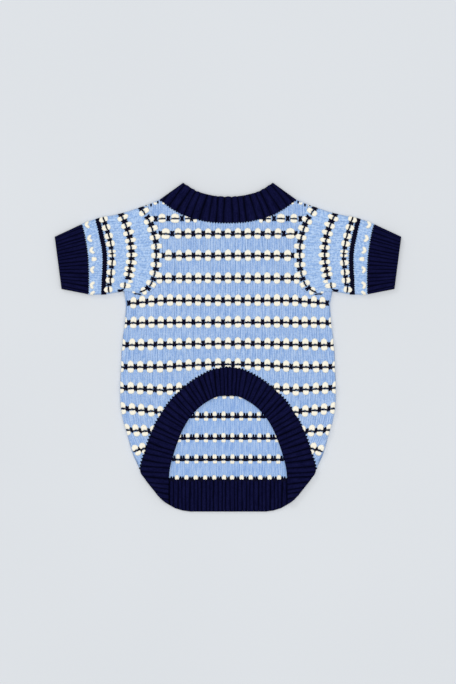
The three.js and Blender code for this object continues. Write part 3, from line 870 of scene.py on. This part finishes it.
def tube(name, along, over, spot, width, top, drop, ribs, leans, unit, material, relief, mirror):
    """A flattened tube: along its length, counted in a unit, and over it from fold to fold."""
    edge = np.minimum(over, 1 - over) * width
    middle = FRONT_BASE - GAP / 2
    upper = middle + (top - middle) * (1 - fall(edge))
    under_bends = FOLD_RADIUS / width * np.array([0.02, 0.1, 0.25, 0.5, 1])
    flat_under = np.linspace(1, 0, UNDER_POINTS)[1:-1]
    under = np.concatenate([1 - under_bends, flat_under, under_bends[::-1]])
    under_edge = np.minimum(under, 1 - under) * width
    lower = middle * fall(under_edge)
    ring = np.concatenate([over, under])
    is_top = np.arange(len(ring)) < len(over)
    fallen = np.where(is_top, drop(along)[:, None], 0)
    heights = np.concatenate([upper, lower])[None, :] - fallen
    outer = np.concatenate([spot(along[:, None], ring[None, :]), heights[..., None]], -1)
    inset = (WALL + GAP) / width
    inner_ring = inset + (1 - 2 * inset) * ring
    inner_along = np.linspace(0, 1, HOLLOW_RINGS) * (along[-1] - along[0]) + along[0]
    inner_height = np.where(is_top, FRONT_BASE, WALL)
    inner_height = np.broadcast_to(inner_height, (HOLLOW_RINGS, len(ring)))
    inner = np.concatenate(
        [spot(inner_along[:, None], inner_ring[None, :]), inner_height[..., None]], -1)
    points = np.concatenate([outer.reshape(-1, 3), inner.reshape(-1, 3)])
    count = len(ring)
    index = np.arange(len(points)).reshape(-1, count)
    out_index, in_index = index[:len(along)], index[len(along):]
    walls = [(out_index[:-1], out_index[1:]), (in_index[1:], in_index[:-1])]
    walls += [(in_index[:1], out_index[:1]), (out_index[-1:], in_index[-1:])]
    quads = np.concatenate([
        np.stack([a, b, np.roll(b, -1, -1), np.roll(a, -1, -1)], -1).reshape(-1, 4)
        for a, b in walls])
    if mirror:
        points = points * [-1, 1, 1]
    on_top = quads[TOP_ROW * count + count // 4]
    a, b, c = points[on_top[:3]]
    if np.cross(b - a, c - a)[2] < 0:
        quads = quads[:, ::-1]
    rib = rib_places((ring * ribs)[None, :], leans(ring), (along / along[-1])[:, None])
    lift = np.where(is_top, 1 - np.concatenate([fall(edge), under]), 0)
    lift = np.broadcast_to(lift[None, :], outer.shape[:2])
    rest = np.zeros(inner.shape[:2])
    courses = np.broadcast_to((along * unit / COURSE)[:, None], outer.shape[:2])
    values = {"column": (rib, rest), "wale": (rib * (2 if relief is RIBBED else 1), rest),
              "course": (courses, rest), "lift": (lift, rest)}
    joined_values = {k: np.concatenate([a.ravel(), b.ravel()]) for k, (a, b) in values.items()}
    made = piece_of(name, points, quads.tolist(), **joined_values)
    return raised(made, material, relief)


# %% Sleeves
SIDES = ("right", "left")
SLEEVE_WALES, SLEEVE_POINTS = 34, 84


def from_fold_to_fold(count, width):
    """Places over a tube's top layer, closer together near its two folds."""
    bends = FOLD_RADIUS / width * np.array([0, 0.03, 0.12, 0.28, 0.5])
    return np.concatenate([bends, np.linspace(FOLD_RADIUS / width, 1 - FOLD_RADIUS / width, count),
                           1 - bends[::-1]])


sleeves = [tube("sleeve_knit_" + side, np.linspace(0, SLEEVE_OUT[-1], SLEEVE_POINTS),
                from_fold_to_fold(SLEEVE_WALES * 4 + 1, SLEEVE_WIDTH), sleeve_spot, SLEEVE_WIDTH,
                FRONT_TOP, np.zeros_like, SLEEVE_WALES, np.zeros_like, 1, BLUE_SLEEVE, PLAIN,
                side == "left") for side in SIDES]


# %% Cuffs and collar
RIB_TUBE_POINTS = 16
END_DROP = 1.2
SWELL, SWELL_FROM = 0.03, 0.8


def open_end(t):
    """How far the top layer has come down near the tube's free end."""
    return END_DROP * fall((1 - t) * CUFF_LENGTH, BAND_EDGE)


def rib_tube(name, spot, width, ribs, leans, mirror=False):
    return tube(name, across(RIB_TUBE_POINTS, CUFF_LENGTH, BAND_EDGE),
                from_fold_to_fold(ribs * POINTS_A_RIB + 1, width), spot, width, BAND_TOP, open_end,
                ribs, leans, CUFF_LENGTH, NAVY_RIB, RIBBED, mirror)


def cuff_lean(v):
    return np.full(v.shape, CUFF_LEAN)


def collar_lean(s):
    return lean_at(COLLAR_LEAN, 2 * s - 1)


def collar_spot(v, s):
    """Place on the collar, whose free edge swells at each rib."""
    v, s = np.broadcast_arrays(v, s)
    rib = np.abs(2 * (rib_places(s * COLLAR_RIBS, collar_lean(s), 1.0) % 1) - 1)
    swell = SWELL * (1 - rib**2) * np.clip((v - SWELL_FROM) / (1 - SWELL_FROM), 0, 1)
    return band_spot(COLLAR_SEAM, COLLAR_EDGE, s * 2 - 1, v + swell)


cuffs = [rib_tube("cuff_rib_" + side, cuff_spot, CUFF_WIDTH, CUFF_RIBS, cuff_lean, side == "left")
         for side in SIDES]
collar = rib_tube("collar_rib", collar_spot, COLLAR_WIDTH, COLLAR_RIBS, collar_lean)


# %% [markdown]
# ## Raised stitches
# The bobbles are long stitches of thick yarn: a dome of three fat legs above and a bowl of three
# below, with a thin navy thread between them and a navy cross beside them.
# Each kind is modelled once. Geometry Nodes lay it on every point of the chart, turned to the
# knit's direction there, with a little seeded unevenness.

# %% One stitch of each kind
LEG_AROUND, LEG_ALONG = 8, 6
PLUMP = 0.7


def leg(x, y, length, width, height, tilt, taper=0.0):
    """A fat leg of yarn: an egg lying at x, y, leaning by its tilt in degrees."""
    rise = np.linspace(0, math.pi, LEG_ALONG + 1)[1:-1]
    turn = np.linspace(0, 2 * math.pi, LEG_AROUND, endpoint=False)
    rise, turn = [a.ravel() for a in np.meshgrid(rise, turn, indexing="ij")]
    slim = 1 + taper * np.cos(rise)
    body = np.stack([np.sin(rise) ** PLUMP * np.cos(turn) * width / 2 * slim,
                     -np.cos(rise) * length / 2,
                     np.sin(rise) ** PLUMP * np.sin(turn) * height / 2], 1)
    tips = np.array([[0, -length / 2, 0], [0, length / 2, 0]])
    points = np.concatenate([body, tips])
    a = math.radians(tilt)
    turned = points @ np.array([[math.cos(a), math.sin(a), 0], [-math.sin(a), math.cos(a), 0],
                                [0, 0, 1]])
    rings = LEG_ALONG - 1
    faces = []
    for k in range(LEG_AROUND):
        n = (k + 1) % LEG_AROUND
        for r in range(rings - 1):
            a0, b0 = r * LEG_AROUND, (r + 1) * LEG_AROUND
            faces.append((a0 + k, b0 + k, b0 + n, a0 + n))
        faces.append((rings * LEG_AROUND, k, n))
        last = (rings - 1) * LEG_AROUND
        faces.append((rings * LEG_AROUND + 1, last + n, last + k))
    return turned + [x, y, 0], faces


def joined(lots):
    """Points and faces of several lots, as one."""
    points, faces, start = [], [], 0
    for co, sides in lots:
        points.append(co)
        faces += [tuple(i + start for i in side) for side in sides]
        start += len(co)
    return np.concatenate(points), faces


def stitch(name, legs):
    """A stitch of several legs, as a template object."""
    made = piece_of(name, *joined([leg(*parts) for parts in legs]))
    tidy = bmesh.new()
    tidy.from_mesh(made.data)
    bmesh.ops.recalc_face_normals(tidy, faces=tidy.faces)
    tidy.to_mesh(made.data)
    tidy.free()
    return made


def pair(x, y, length, width, height, tilt, taper=0.0):
    return [(side * x, y, length, width, height, side * tilt, taper) for side in (-1, 1)]


# Each leg is x, y, length, width, height, tilt and taper, in millimetres and degrees
STITCHES = {
    "dome": pair(1.45, 2.15, 4.8, 3.0, 2.2, 9, 0.1) + [(0, 2.75, 4.9, 3.2, 2.5, 0)],
    "bowl": pair(1.5, -3.3, 4.0, 3.0, 2.1, -13, -0.1) + [(0, -3.55, 4.2, 3.2, 2.3, 0)],
    "cross": (pair(0.85, 0.9, 3.1, 1.9, 1.8, -14) + pair(0.85, -1.6, 3.1, 1.9, 1.8, 14)
              + [(0, -0.35, 3.0, 3.0, 1.9, 0)]),
    "thread": pair(1.5, -0.7, 3.8, 1.5, 2.2, 80),
    "dot": pair(0.8, 2.45, 4.4, 2.4, 2.0, 6, 0.1),
    "cup": pair(0.85, -2.7, 3.0, 2.5, 1.8, -16),
    "prongs": pair(1.15, 1.3, 4.2, 1.9, 1.7, 2) + [(0, -0.5, 7.4, 3.0, 1.7, 90)],
    "link": [(0, -0.5, 4.6, 1.2, 1.5, 90)],
    "crescent": pair(1.5, 0, 5.2, 3.0, 2.0, 55),
    "vee": pair(0.5, 0, 5.6, 1.5, 1.8, -14),
    "nub": [(0, 0, 2.8, 2.4, 1.6, 0)],
}
templates = {name: stitch("stitch_" + name, legs) for name, legs in STITCHES.items()}
print(len(templates), "kinds of stitch")


# %% Tree that lays stitches
def stitches_tree():
    tree = tree_with("lay_stitches", Stitch="Object", Unevenness="Float", Seed="Int",
                     Material="Material")
    given = tree.nodes.new("NodeGroupInput").outputs
    info = wire(tree, "GeometryNodeObjectInfo", {"Object": given["Stitch"]})

    def uneven(low, high, shift):
        spread = wire(tree, "FunctionNodeRandomValue",
                      {2: low, 3: high, "Seed": sum_of(tree, "ADD", given["Seed"], shift)},
                      data_type="FLOAT").outputs[1]
        return sum_of(tree, "MULTIPLY", spread, given["Unevenness"])

    turn = sum_of(tree, "ADD", named(tree, "turn"), uneven(-1.0, 1.0, 1.0))
    wide = sum_of(tree, "MULTIPLY", named(tree, "wide"),
                  sum_of(tree, "ADD", uneven(-0.6, 0.6, 2.0), 1.0))
    tall = sum_of(tree, "MULTIPLY", named(tree, "tall"),
                  sum_of(tree, "ADD", uneven(-0.6, 0.6, 3.0), 1.0))
    laid = wire(tree, "GeometryNodeInstanceOnPoints", {
        "Points": given["Geometry"], "Instance": info.outputs["Geometry"],
        "Rotation": wire(tree, "ShaderNodeCombineXYZ", {"Z": turn}).outputs[0],
        "Scale": wire(tree, "ShaderNodeCombineXYZ", {"X": wide, "Y": tall, "Z": 1.0}).outputs[0]})
    return ended(tree, laid.outputs[0], given["Material"])


LAY = stitches_tree()


def points_and_faces(mesh):
    """A mesh's points in millimetres, and its faces."""
    co = np.empty(len(mesh.vertices) * 3)
    mesh.vertices.foreach_get("co", co)
    return co.reshape(-1, 3) / MM, [tuple(p.vertices) for p in mesh.polygons]


def discard(thing):
    mesh = thing.data
    bpy.data.objects.remove(thing)
    bpy.data.meshes.remove(mesh)


def laid(kind, spots, height, turn, wide, tall, seed, material):
    """Points and faces of one kind of stitch, laid on its places."""
    spots = np.asarray(spots, float).reshape(-1, 2)
    points = np.column_stack([spots, np.full(len(spots), height)])
    each = np.ones(len(spots))
    made = piece_of("laid", points, [], turn=turn * each, wide=wide * each, tall=tall * each)
    through(made, LAY, Stitch=templates[kind], Unevenness=0.08, Seed=seed, Material=material)
    lot = points_and_faces(made.data)
    discard(made)
    return lot


def sewn_on(name, lots, material, settle=np.asarray):
    """One piece from several lots of laid stitches, fitted to the cloth's edges by settle."""
    points, faces = joined(lots)
    made = piece_of(name, settle(points), faces)
    made.data.materials.append(material)
    print(name, len(faces), "faces")
    return made


# %% [markdown]
# ## The chart of the front
# Eleven rows cross the front, and a twelfth shows at the shoulders. A stitch that a seam cuts
# through is tucked under the band beside it, as in the real knit, and one at the side fold
# follows the fold down.

# %% Stitches of the front
COLUMNS_OUT = np.array(COLUMN_X[:-1])
WIDE_ROWS = {
    0: [(30.4, 0.6), (37.2, 0.8), (48.7, 1.3), (60.7, 1.1)],
    1: [(0, 1), (9.1, 1), (18.2, 1), (27.3, 1), (36.7, 1), (46, 1.05), (57.3, 1.35)],
    2: [(0, 1), (9.1, 1), (18.3, 1), (27.4, 1), (36.2, 1), (45, 1), (54.8, 1.1)],
    3: [(0, 1), (9.1, 1), (18.3, 1), (27.4, 1), (36.2, 1), (45, 1), (54.8, 1.05), (63.2, 0.9)],
}
ROW_TALL = [0.8, 0.94, 1, 1] + [1.05] * 8
END_CROSSES = [(66.4, 0), (62.2, 1), (59.6, 2)]
SHOULDER_CREAM = [(58.7, 132.6, 0.7), (66.9, 132.2, 0.6), (74.6, 130, 0.45)]
SHOULDER_NAVY = [(64.6, 133.8, 0.5), (70.8, 131.2, 0.55)]
# The sleeve's first row runs off along the underarm: kind, x, y, turn, wide and tall
UNDERARM_BITS = [
    ("dome", 77.3, 51.7, 2.67, 0.8, 0.72), ("bowl", 77.3, 51.7, 2.67, 0.8, 0.72),
    ("thread", 77.3, 51.7, 2.67, 1.3, 1), ("thread", 83, 49.6, 0.09, 1.1, 0.8),
    ("bowl", 86.6, 52.2, 0, 0.5, 0.45),
]


def both_sides(values):
    """A list of (x, wide) with its mirror image, in order, and x 0 once."""
    return sorted([(-x, w) for x, w in values if x] + list(values))


def front_chart():
    """Wale, row and width of the bobbles, and wale and row of the crosses between them."""
    bobbles, crosses = [], []
    for row in range(len(ROW_MIDDLE)):
        if row in WIDE_ROWS:
            row_columns = both_sides(WIDE_ROWS[row])
        else:
            row_columns = both_sides([(x, 1) for x in COLUMNS_OUT])
        wales = [np.sign(x) * np.interp(abs(x), COLUMN_X, range(len(COLUMN_X))) * WALES_A_BOBBLE
                 for x, _ in row_columns]
        for wale, (_, wide) in zip(wales, row_columns):
            bobbles.append((wale, row, wide))
        for a, b, (_, wa), (_, wb) in zip(wales, wales[1:], row_columns, row_columns[1:]):
            if b - a < 2 * WALES_A_BOBBLE:
                crosses.append(((a + b) / 2 + (wa - wb) * 0.6, row))
    for x, row in END_CROSSES:
        wale = np.interp(x, COLUMN_X, range(len(COLUMN_X))) * WALES_A_BOBBLE
        crosses += [(wale, row), (-wale, row)]
    return np.array(bobbles), np.array(crosses)


LEAN_STEP = 0.12


def lean_of(wale, row):
    """Angle of the knit's columns there, from +Y."""
    way = front_spot(wale, row - LEAN_STEP) - front_spot(wale, row + LEAN_STEP)
    return np.arctan2(-way[:, 0], way[:, 1])


def slope_of(wale, row):
    """Angle of the row there, from +X."""
    way = front_spot(wale + 0.5, row) - front_spot(wale - 0.5, row)
    return np.arctan2(way[:, 1], way[:, 0])


def in_reach(spots, outline, reach):
    """Which spots lie in the outline, or no further from it than the reach."""
    off = np.linalg.norm(nearest(spots, outline) - spots, axis=1)
    return inside(spots, outline) | (off < reach)


EDGE_TUCK = 0.25
SEAM_TUCK = FRONT_BASE + 1.0
STITCH_FALL = 1.9
STITCH_REACH = 1.5


def settle_front(points):
    """Stitches that cross the side fold bend down it, and those past a seam go under it."""
    x, y, z = points.T.copy()
    limit = half_width(y) - EDGE_TUCK
    body = y < UNDERARM_Y
    beyond = body & (np.abs(x) > limit)
    x[beyond] = np.sign(x[beyond]) * limit[beyond]
    edge = half_width(y) - np.abs(x)
    z = np.where(body, z - STITCH_FALL * fall(edge), z)
    over_sleeve = (np.abs(x) > 57) & (y > 47) & (y < 128)
    past = ~inside(np.stack([x, y], 1), FRONT_OUTLINE) & ~over_sleeve
    return np.column_stack([x, y, np.where(past, np.minimum(z, SEAM_TUCK), z)])


bobbles, crosses = front_chart()
wale, row, wide = bobbles.T
spots = front_spot(wale, row)
shown = in_reach(spots, FRONT_OUTLINE, STITCH_REACH)
wale, row, wide, spots = wale[shown], row[shown], wide[shown], spots[shown]
turn, slope = lean_of(wale, row), slope_of(wale, row)
CREAM_LEVEL = FRONT_TOP + 0.35
tall = np.array(ROW_TALL)[row.astype(int)]
cream_lots = [laid("dome", spots, CREAM_LEVEL, turn, wide, tall, 11, CREAM),
              laid("bowl", spots, CREAM_LEVEL, turn, wide, tall, 12, CREAM)]
navy_lots = [laid("thread", spots, CREAM_LEVEL, slope, wide, tall, 13, NAVY)]
wale, row = crosses.T
spots = front_spot(wale, row)
shown = in_reach(spots, FRONT_OUTLINE, STITCH_REACH)
navy_lots.append(laid("cross", spots[shown], FRONT_TOP + 0.25,
                      slope_of(wale[shown], row[shown]), 1.0, 1.0, 14, NAVY))
for kind, bits, lots, finish in (("bowl", SHOULDER_CREAM, cream_lots, CREAM),
                                 ("cross", SHOULDER_NAVY, navy_lots, NAVY)):
    for x, y, size in bits:
        raise_by = 3.6 * size if kind == "bowl" else 0
        places = [(-x, y + raise_by), (x, y + raise_by)]
        lots.append(laid(kind, places, FRONT_TOP, 0.0, size, size, 15, finish))
for kind, x, y, turn, wide, tall in UNDERARM_BITS:
    lots, finish = (navy_lots, NAVY) if kind == "thread" else (cream_lots, CREAM)
    lots.append(laid(kind, [(x, y), (-x, y)], CREAM_LEVEL, np.array([turn, -turn]), wide, tall, 17,
                     finish))
front_cream = sewn_on("front_cream", cream_lots, CREAM, settle_front)
front_navy = sewn_on("front_navy", navy_lots, NAVY, settle_front)

# %% [markdown]
# ## The inside of the back
# Inside the arch the wrong side of the back shows. Its rows have smaller cream dots on an unbroken
# navy line with two short prongs between each pair, and the last row is cut off by the hem.

# %% Stitches inside the arch
# Height of each row, and the places of its dots out from the middle
INSIDE_ROWS = [
    (-43.2, [3.6, 11.6]),
    (-63.5, [4.1, 12.2, 20.2, 28.4]),
    (-83.3, [4.1, 12.1, 20.2, 28.8, 37, 45.1]),
    (-102.9, [4.1, 12.2, 20.6, 29.1, 37.7, 46.2]),
    (-122, [3.8, 12.5, 21, 29.6, 38.4, 46.9]),
]
dots, links = [], []
for height, out in INSIDE_ROWS:
    places = [-x for x in out[::-1]] + out
    ends = [places[0] - 8.3] + places + [places[-1] + 8.3]
    dots += [(x, height) for x in places]
    links += [((a + b) / 2, height) for a, b in zip(ends, ends[1:])]
INSIDE_LEVEL = WALL + 0.3
hem_row = INSIDE_ROWS[-1][0]
cups = [spot for spot in dots if spot[1] != hem_row]
ARCH_LINE = mirrored(spline(ARCH_FREE, np.linspace(0, 1, 120)))
UNDER_BAND = 2.3


def settle_inside(points):
    """Stitches under the belly band are pressed flat by it."""
    under = ~inside(points[:, :2], ARCH_LINE)
    z = np.where(under, np.minimum(points[:, 2], UNDER_BAND), points[:, 2])
    return np.column_stack([points[:, :2], z])


over_hem = [spot for spot in dots if spot[1] == hem_row]
OVER_HEM = 0.7
inside_cream = sewn_on("inside_cream", [
    laid("dot", cups, INSIDE_LEVEL, 0, 1.0, 1.0, 21, CREAM),
    laid("dot", over_hem, INSIDE_LEVEL + OVER_HEM, 0, 1.0, 1.0, 25, CREAM),
    laid("cup", cups, INSIDE_LEVEL, 0, 1.0, 1.0, 22, CREAM)], CREAM, settle_inside)
inside_navy = sewn_on("inside_navy", [
    laid("prongs", links, INSIDE_LEVEL - 0.1, 0, 1.0, 1.0, 23, NAVY),
    laid("link", dots, INSIDE_LEVEL - 0.1, 0, 1.0, 1.0, 24, NAVY)], NAVY, settle_inside)

# %% [markdown]
# ## The chart of the sleeves
# On a sleeve the columns run from the shoulder out to the cuff, so the rows stand across it. Next
# to the third row lies a solid navy band of small Vs, and near the cuff a row of cream crescents.

# %% Stitches of the sleeves
# Each row: how far out it lies, its bobbles' and crosses' places from underarm 0 to shoulder 1,
# how long and wide its bobbles are, how large its crosses, and whether they point to the cuff
SLEEVE_ROWS = [
    (4.6, [0.24, 0.34, 0.425, 0.51, 0.605, 0.695, 0.77, 0.85, 0.935],
     [0.185, 0.29, 0.385, 0.465, 0.555, 0.655, 0.73, 0.81, 0.88, 0.985], 1.05, 0.86, 0.9, False),
    (27.6, [0.12, 0.27, 0.345, 0.435, 0.525, 0.61, 0.69, 0.775, 0.86, 0.94],
     [0.02, 0.23, 0.315, 0.39, 0.48, 0.57, 0.655, 0.73, 0.815, 0.9, 0.985], 1.02, 0.8, 0.95,
     False),
    (46.2, [0.08, 0.205, 0.305, 0.42, 0.635, 0.73, 0.845, 0.955],
     [0.145, 0.25, 0.37, 0.465, 0.59, 0.68, 0.785, 0.9], 0.8, 0.92, 0.7, True),
    (46.2, [0.505, 0.55], [0.525], 0.75, 0.5, 0.5, True),
]
CRESCENTS = [0.01, 0.14, 0.35, 0.64, 0.8, 0.955]
CRESCENTS_OUT = 63.8
LONE_DOT = (66.6, 0.485)
LONE_DOME = (27.6, 0.19)
BAND_V = [0, 0.17, 0.5, 0.75, 1]
BAND_OUT = [50.4, 52, 53.1, 52.7, 51.8]


def sleeve_turn(out, v, step=0.02):
    """Angle that lays a stitch along its row, or near the underarm with its top to the body."""
    way = sleeve_spot(out, np.minimum(v + step, 1)) - sleeve_spot(out, np.maximum(v - step, 0))
    along_row = np.arctan2(way[:, 1], way[:, 0])
    way = sleeve_spot(out - 0.8, v) - sleeve_spot(out + 0.8, v)
    to_body = np.arctan2(-way[:, 0], way[:, 1])
    return to_body + (along_row - to_body) * np.clip((v - 0.15) / 0.2, 0, 1)


def settle_sleeve(points):
    """Stitches bend down over the two folds, which are the ends of the sleeve's cross lines."""
    under = sleeve_spot(np.linspace(0, SLEEVE_OUT[-1], 40), 0.0)
    shoulder = sleeve_spot(np.linspace(SLEEVE_OUT[-1], 0, 40), 1.0)
    armhole = sleeve_spot(0.0, np.linspace(1, 0, 40))[1:-1]
    outline = np.concatenate([under, shoulder, armhole])
    flat = points[:, :2]
    close = nearest(flat, outline)
    past = ~inside(flat, outline)
    off = np.linalg.norm(close - flat, axis=1)
    near_fold = np.minimum(
        np.linalg.norm(flat[:, None] - under[None], axis=-1).min(1),
        np.linalg.norm(flat[:, None] - shoulder[None], axis=-1).min(1))
    edge = np.where(past, 0, near_fold)
    pulled = close + (flat - close) * (EDGE_TUCK / np.maximum(off, EDGE_TUCK))[:, None]
    flat = np.where((past & (off > EDGE_TUCK))[:, None], pulled, flat)
    return np.column_stack([flat, points[:, 2] - STITCH_FALL * fall(edge)])


def sleeve_lots():
    cream, navy = [], []

    def lay(kind, out, v, level, wide, tall, seed, flip=False):
        out, v = np.broadcast_arrays(np.asarray(out, float), np.asarray(v, float))
        turn = sleeve_turn(out, v) + (math.pi if flip else 0)
        lots, finish = (cream, CREAM) if kind in ("dome", "bowl", "crescent") else (navy, NAVY)
        lots.append(laid(kind, sleeve_spot(out, v), level, turn, wide, tall, seed, finish))

    for out, bobbles, crosses, long, wide, cross, flip in SLEEVE_ROWS:
        lay("dome", out, bobbles, CREAM_LEVEL, wide, long, 31, flip)
        lay("bowl", out, bobbles, CREAM_LEVEL, wide, long, 32, flip)
        lay("thread", out, bobbles, CREAM_LEVEL, 1.0, 1.0, 33, flip)
        lay("cross", out, crosses, FRONT_TOP + 0.6, cross, cross + 0.15, 34, flip)
    lay("dome", LONE_DOME[0], [LONE_DOME[1]], CREAM_LEVEL - 0.1, 0.55, 0.9, 35)
    lay("crescent", CRESCENTS_OUT, CRESCENTS, CREAM_LEVEL - 0.1, 0.9, 1.1, 36, True)
    lay("bowl", LONE_DOT[0], [LONE_DOT[1]], CREAM_LEVEL - 0.1, 0.65, 1.15, 37, True)
    v = np.linspace(0.003, 0.997, 35)
    middle = np.interp(v, BAND_V, BAND_OUT)
    lay("vee", middle - 0.4, v, FRONT_TOP + 0.3, 1.15, 0.94, 38)
    lay("link", middle - 2.0, v, FRONT_TOP + 0.2, 0.7, 3.5, 39)
    return cream, navy


def on_left(piece, name, material):
    """The mirror image of a piece of the right sleeve."""
    points, faces = points_and_faces(piece.data)
    return sewn_on(name, [(points * [-1, 1, 1], [side[::-1] for side in faces])], material)


cream_lots, navy_lots = sleeve_lots()
sleeve_creams = [sewn_on("sleeve_cream_right", cream_lots, CREAM, settle_sleeve)]
sleeve_navies = [sewn_on("sleeve_navy_right", navy_lots, NAVY, settle_sleeve)]
sleeve_creams.append(on_left(sleeve_creams[0], "sleeve_cream_left", CREAM))
sleeve_navies.append(on_left(sleeve_navies[0], "sleeve_navy_left", NAVY))

# %% [markdown]
# ## Seam stitches
# Where a band is knitted on, its last course bites into the blue in small navy teeth.

# %% Teeth along the seams
def seam_teeth(line, count):
    """Evenly spaced places on a line, and the angle of the line at each."""
    share = (np.arange(count) + 0.5) / count
    steps = np.linalg.norm(np.diff(line, axis=0), axis=1)
    length = np.concatenate([[0], np.cumsum(steps)]) / steps.sum()
    spots = np.stack([np.interp(share, length, line[:, k]) for k in (0, 1)], 1)
    way = np.gradient(line, axis=0)
    turn = np.unwrap(np.arctan2(way[:, 1], way[:, 0]))
    return spots, np.interp(share, length, turn)


def both_halves(half):
    """A line from end to end, from its half at +X."""
    return np.concatenate([half[:0:-1] * [-1, 1], half])


BITE = 0.2
arch_line = moved(both_halves(arch_seam(120)), BITE)
collar_line = moved(both_halves(spline(COLLAR_SEAM, np.linspace(0, 1, 80))), -BITE)
cuff_line = moved(cuff_spot(0.0, np.linspace(0.02, 0.98, 60)), BITE)
lots = []
for line, count, size in ((arch_line, 88, 0.72), (collar_line, 54, 0.55), (cuff_line, 30, 0.6),
                          (cuff_line * [-1, 1], 30, 0.6)):
    spots, turn = seam_teeth(line, count)
    lots.append(laid("nub", spots, FRONT_TOP + 0.2, turn, size, size, 41, NAVY))
seam_navy = sewn_on("seam_navy", lots, NAVY)

for template in templates.values():
    discard(template)

# %% [markdown]
# ## Telling the frame about the pieces
# Every piece rides on the one body, and each cloth piece stands for its plain solid and says the
# size that it was cut to. A tube's cut is its girth by its length.

# %% Pieces and cuts
SHEETS = [
    (front, "front_panel", "blue_knit", (0.199, 0.247), area_of(FRONT_OUTLINE),
     ["back_panel"], [front_cream, front_navy]),
    (back, "back_panel", "blue_knit", (0.199, 0.257), area_of(BACK_OUTLINE),
     [], [inside_cream, inside_navy]),
    (belly, "belly_band", "navy_rib", (0.322, 0.027), 0.0081, ["hem_band"], [seam_navy]),
    (hem, "hem_band", "navy_rib", (0.151, 0.031), 0.0043, [], []),
    (collar, "collar", "navy_rib", (0.302, 0.028), 0.0072, [], []),
    (sleeves[0], "sleeve_right", "blue_knit", (0.160, 0.070), 0.0094, [],
     [sleeve_creams[0], sleeve_navies[0]]),
    (sleeves[1], "sleeve_left", "blue_knit", (0.160, 0.070), 0.0094, [],
     [sleeve_creams[1], sleeve_navies[1]]),
    (cuffs[0], "cuff_right", "navy_rib", (0.130, 0.027), 0.0031, [], []),
    (cuffs[1], "cuff_left", "navy_rib", (0.130, 0.027), 0.0031, [], []),
]
for piece, node, finish, flat, area, rests_on, sewn in SHEETS:
    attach(piece, "root")
    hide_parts(node)
    for extra in sewn:
        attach(extra, "root")
    print(node, "cut", flat, "area", round(area, 4))

# %% [markdown]
# ## Floor, light and camera
# The sweater lies on a plain pale floor under an even studio light, with just enough more from the
# upper left to bring out the ribs. The floor glows a little, which keeps the sweater's shadow
# faint. The camera looks straight down with a long lens.

# %% Floor
FLOOR_HALF = 2.5
FLOOR_DROP = 0.15
GLOW = 0.3
floor = piece_of("floor", np.array([(-1, -1, 0), (1, -1, 0), (1, 1, 0), (-1, 1, 0)])
                 * FLOOR_HALF / MM - [0, 0, FLOOR_DROP], [(0, 1, 2, 3)])
paper, tree, shader = matt_material("pale_floor", 0.1, Emission_Strength=GLOW)
mottle = wire(tree, "ShaderNodeTexNoise",
              {"Vector": object_spot(tree), "Scale": 3.0, "Detail": 2.0})
tone = ramp(tree, mottle.outputs[0], [(0.3, (0.711, 0.741, 0.776)), (0.7, (0.731, 0.761, 0.796))])
tree.links.new(darkened(tree, tone, 1.0, GLOW), shader.inputs["Base Color"])
tree.links.new(tone, shader.inputs["Emission Color"])
floor.data.materials.append(paper)


# %% Light
def lamp(name, place, size, power):
    """A square soft light that shines at the middle of the sweater."""
    light = bpy.data.lights.new(name, "AREA")
    light.shape = "SQUARE"
    light.size = size
    light.energy = power
    made = bpy.data.objects.new(name, light)
    made.location = place
    made.rotation_mode = "QUATERNION"
    made.rotation_quaternion = (-made.location).to_track_quat("-Z", "Y")
    bpy.context.scene.collection.objects.link(made)


lamp("overhead", place=(0.15, -0.1, 2.6), size=2.4, power=42.5)
lamp("key", place=(-2, 2.6, 3.2), size=1.4, power=34)
ROOM_LIGHT = 0.42
world = bpy.data.worlds.new("studio")
world.use_nodes = True
world.node_tree.nodes["Background"].inputs["Color"].default_value = (1, 1, 1, 1)
world.node_tree.nodes["Background"].inputs["Strength"].default_value = ROOM_LIGHT
bpy.context.scene.world = world
bpy.context.scene.view_settings.view_transform = "Standard"

# %% Camera
PIXEL = 0.92
TALL_SIDE = 684
LENS = 200
SENSOR = 36
MIDDLE_Y = 4.97
CLOTH_LEVEL = 4.5
camera_data = bpy.data.cameras.new("camera")
camera_data.lens = LENS
camera_data.sensor_width = SENSOR
camera_data.clip_end = 20
camera = bpy.data.objects.new("camera", camera_data)
height = PIXEL * TALL_SIDE * LENS / SENSOR + CLOTH_LEVEL
camera.location = (0, MIDDLE_Y * MM, height * MM)
bpy.context.scene.collection.objects.link(camera)
bpy.context.scene.camera = camera
print("camera height", round(height * MM, 3), "m")
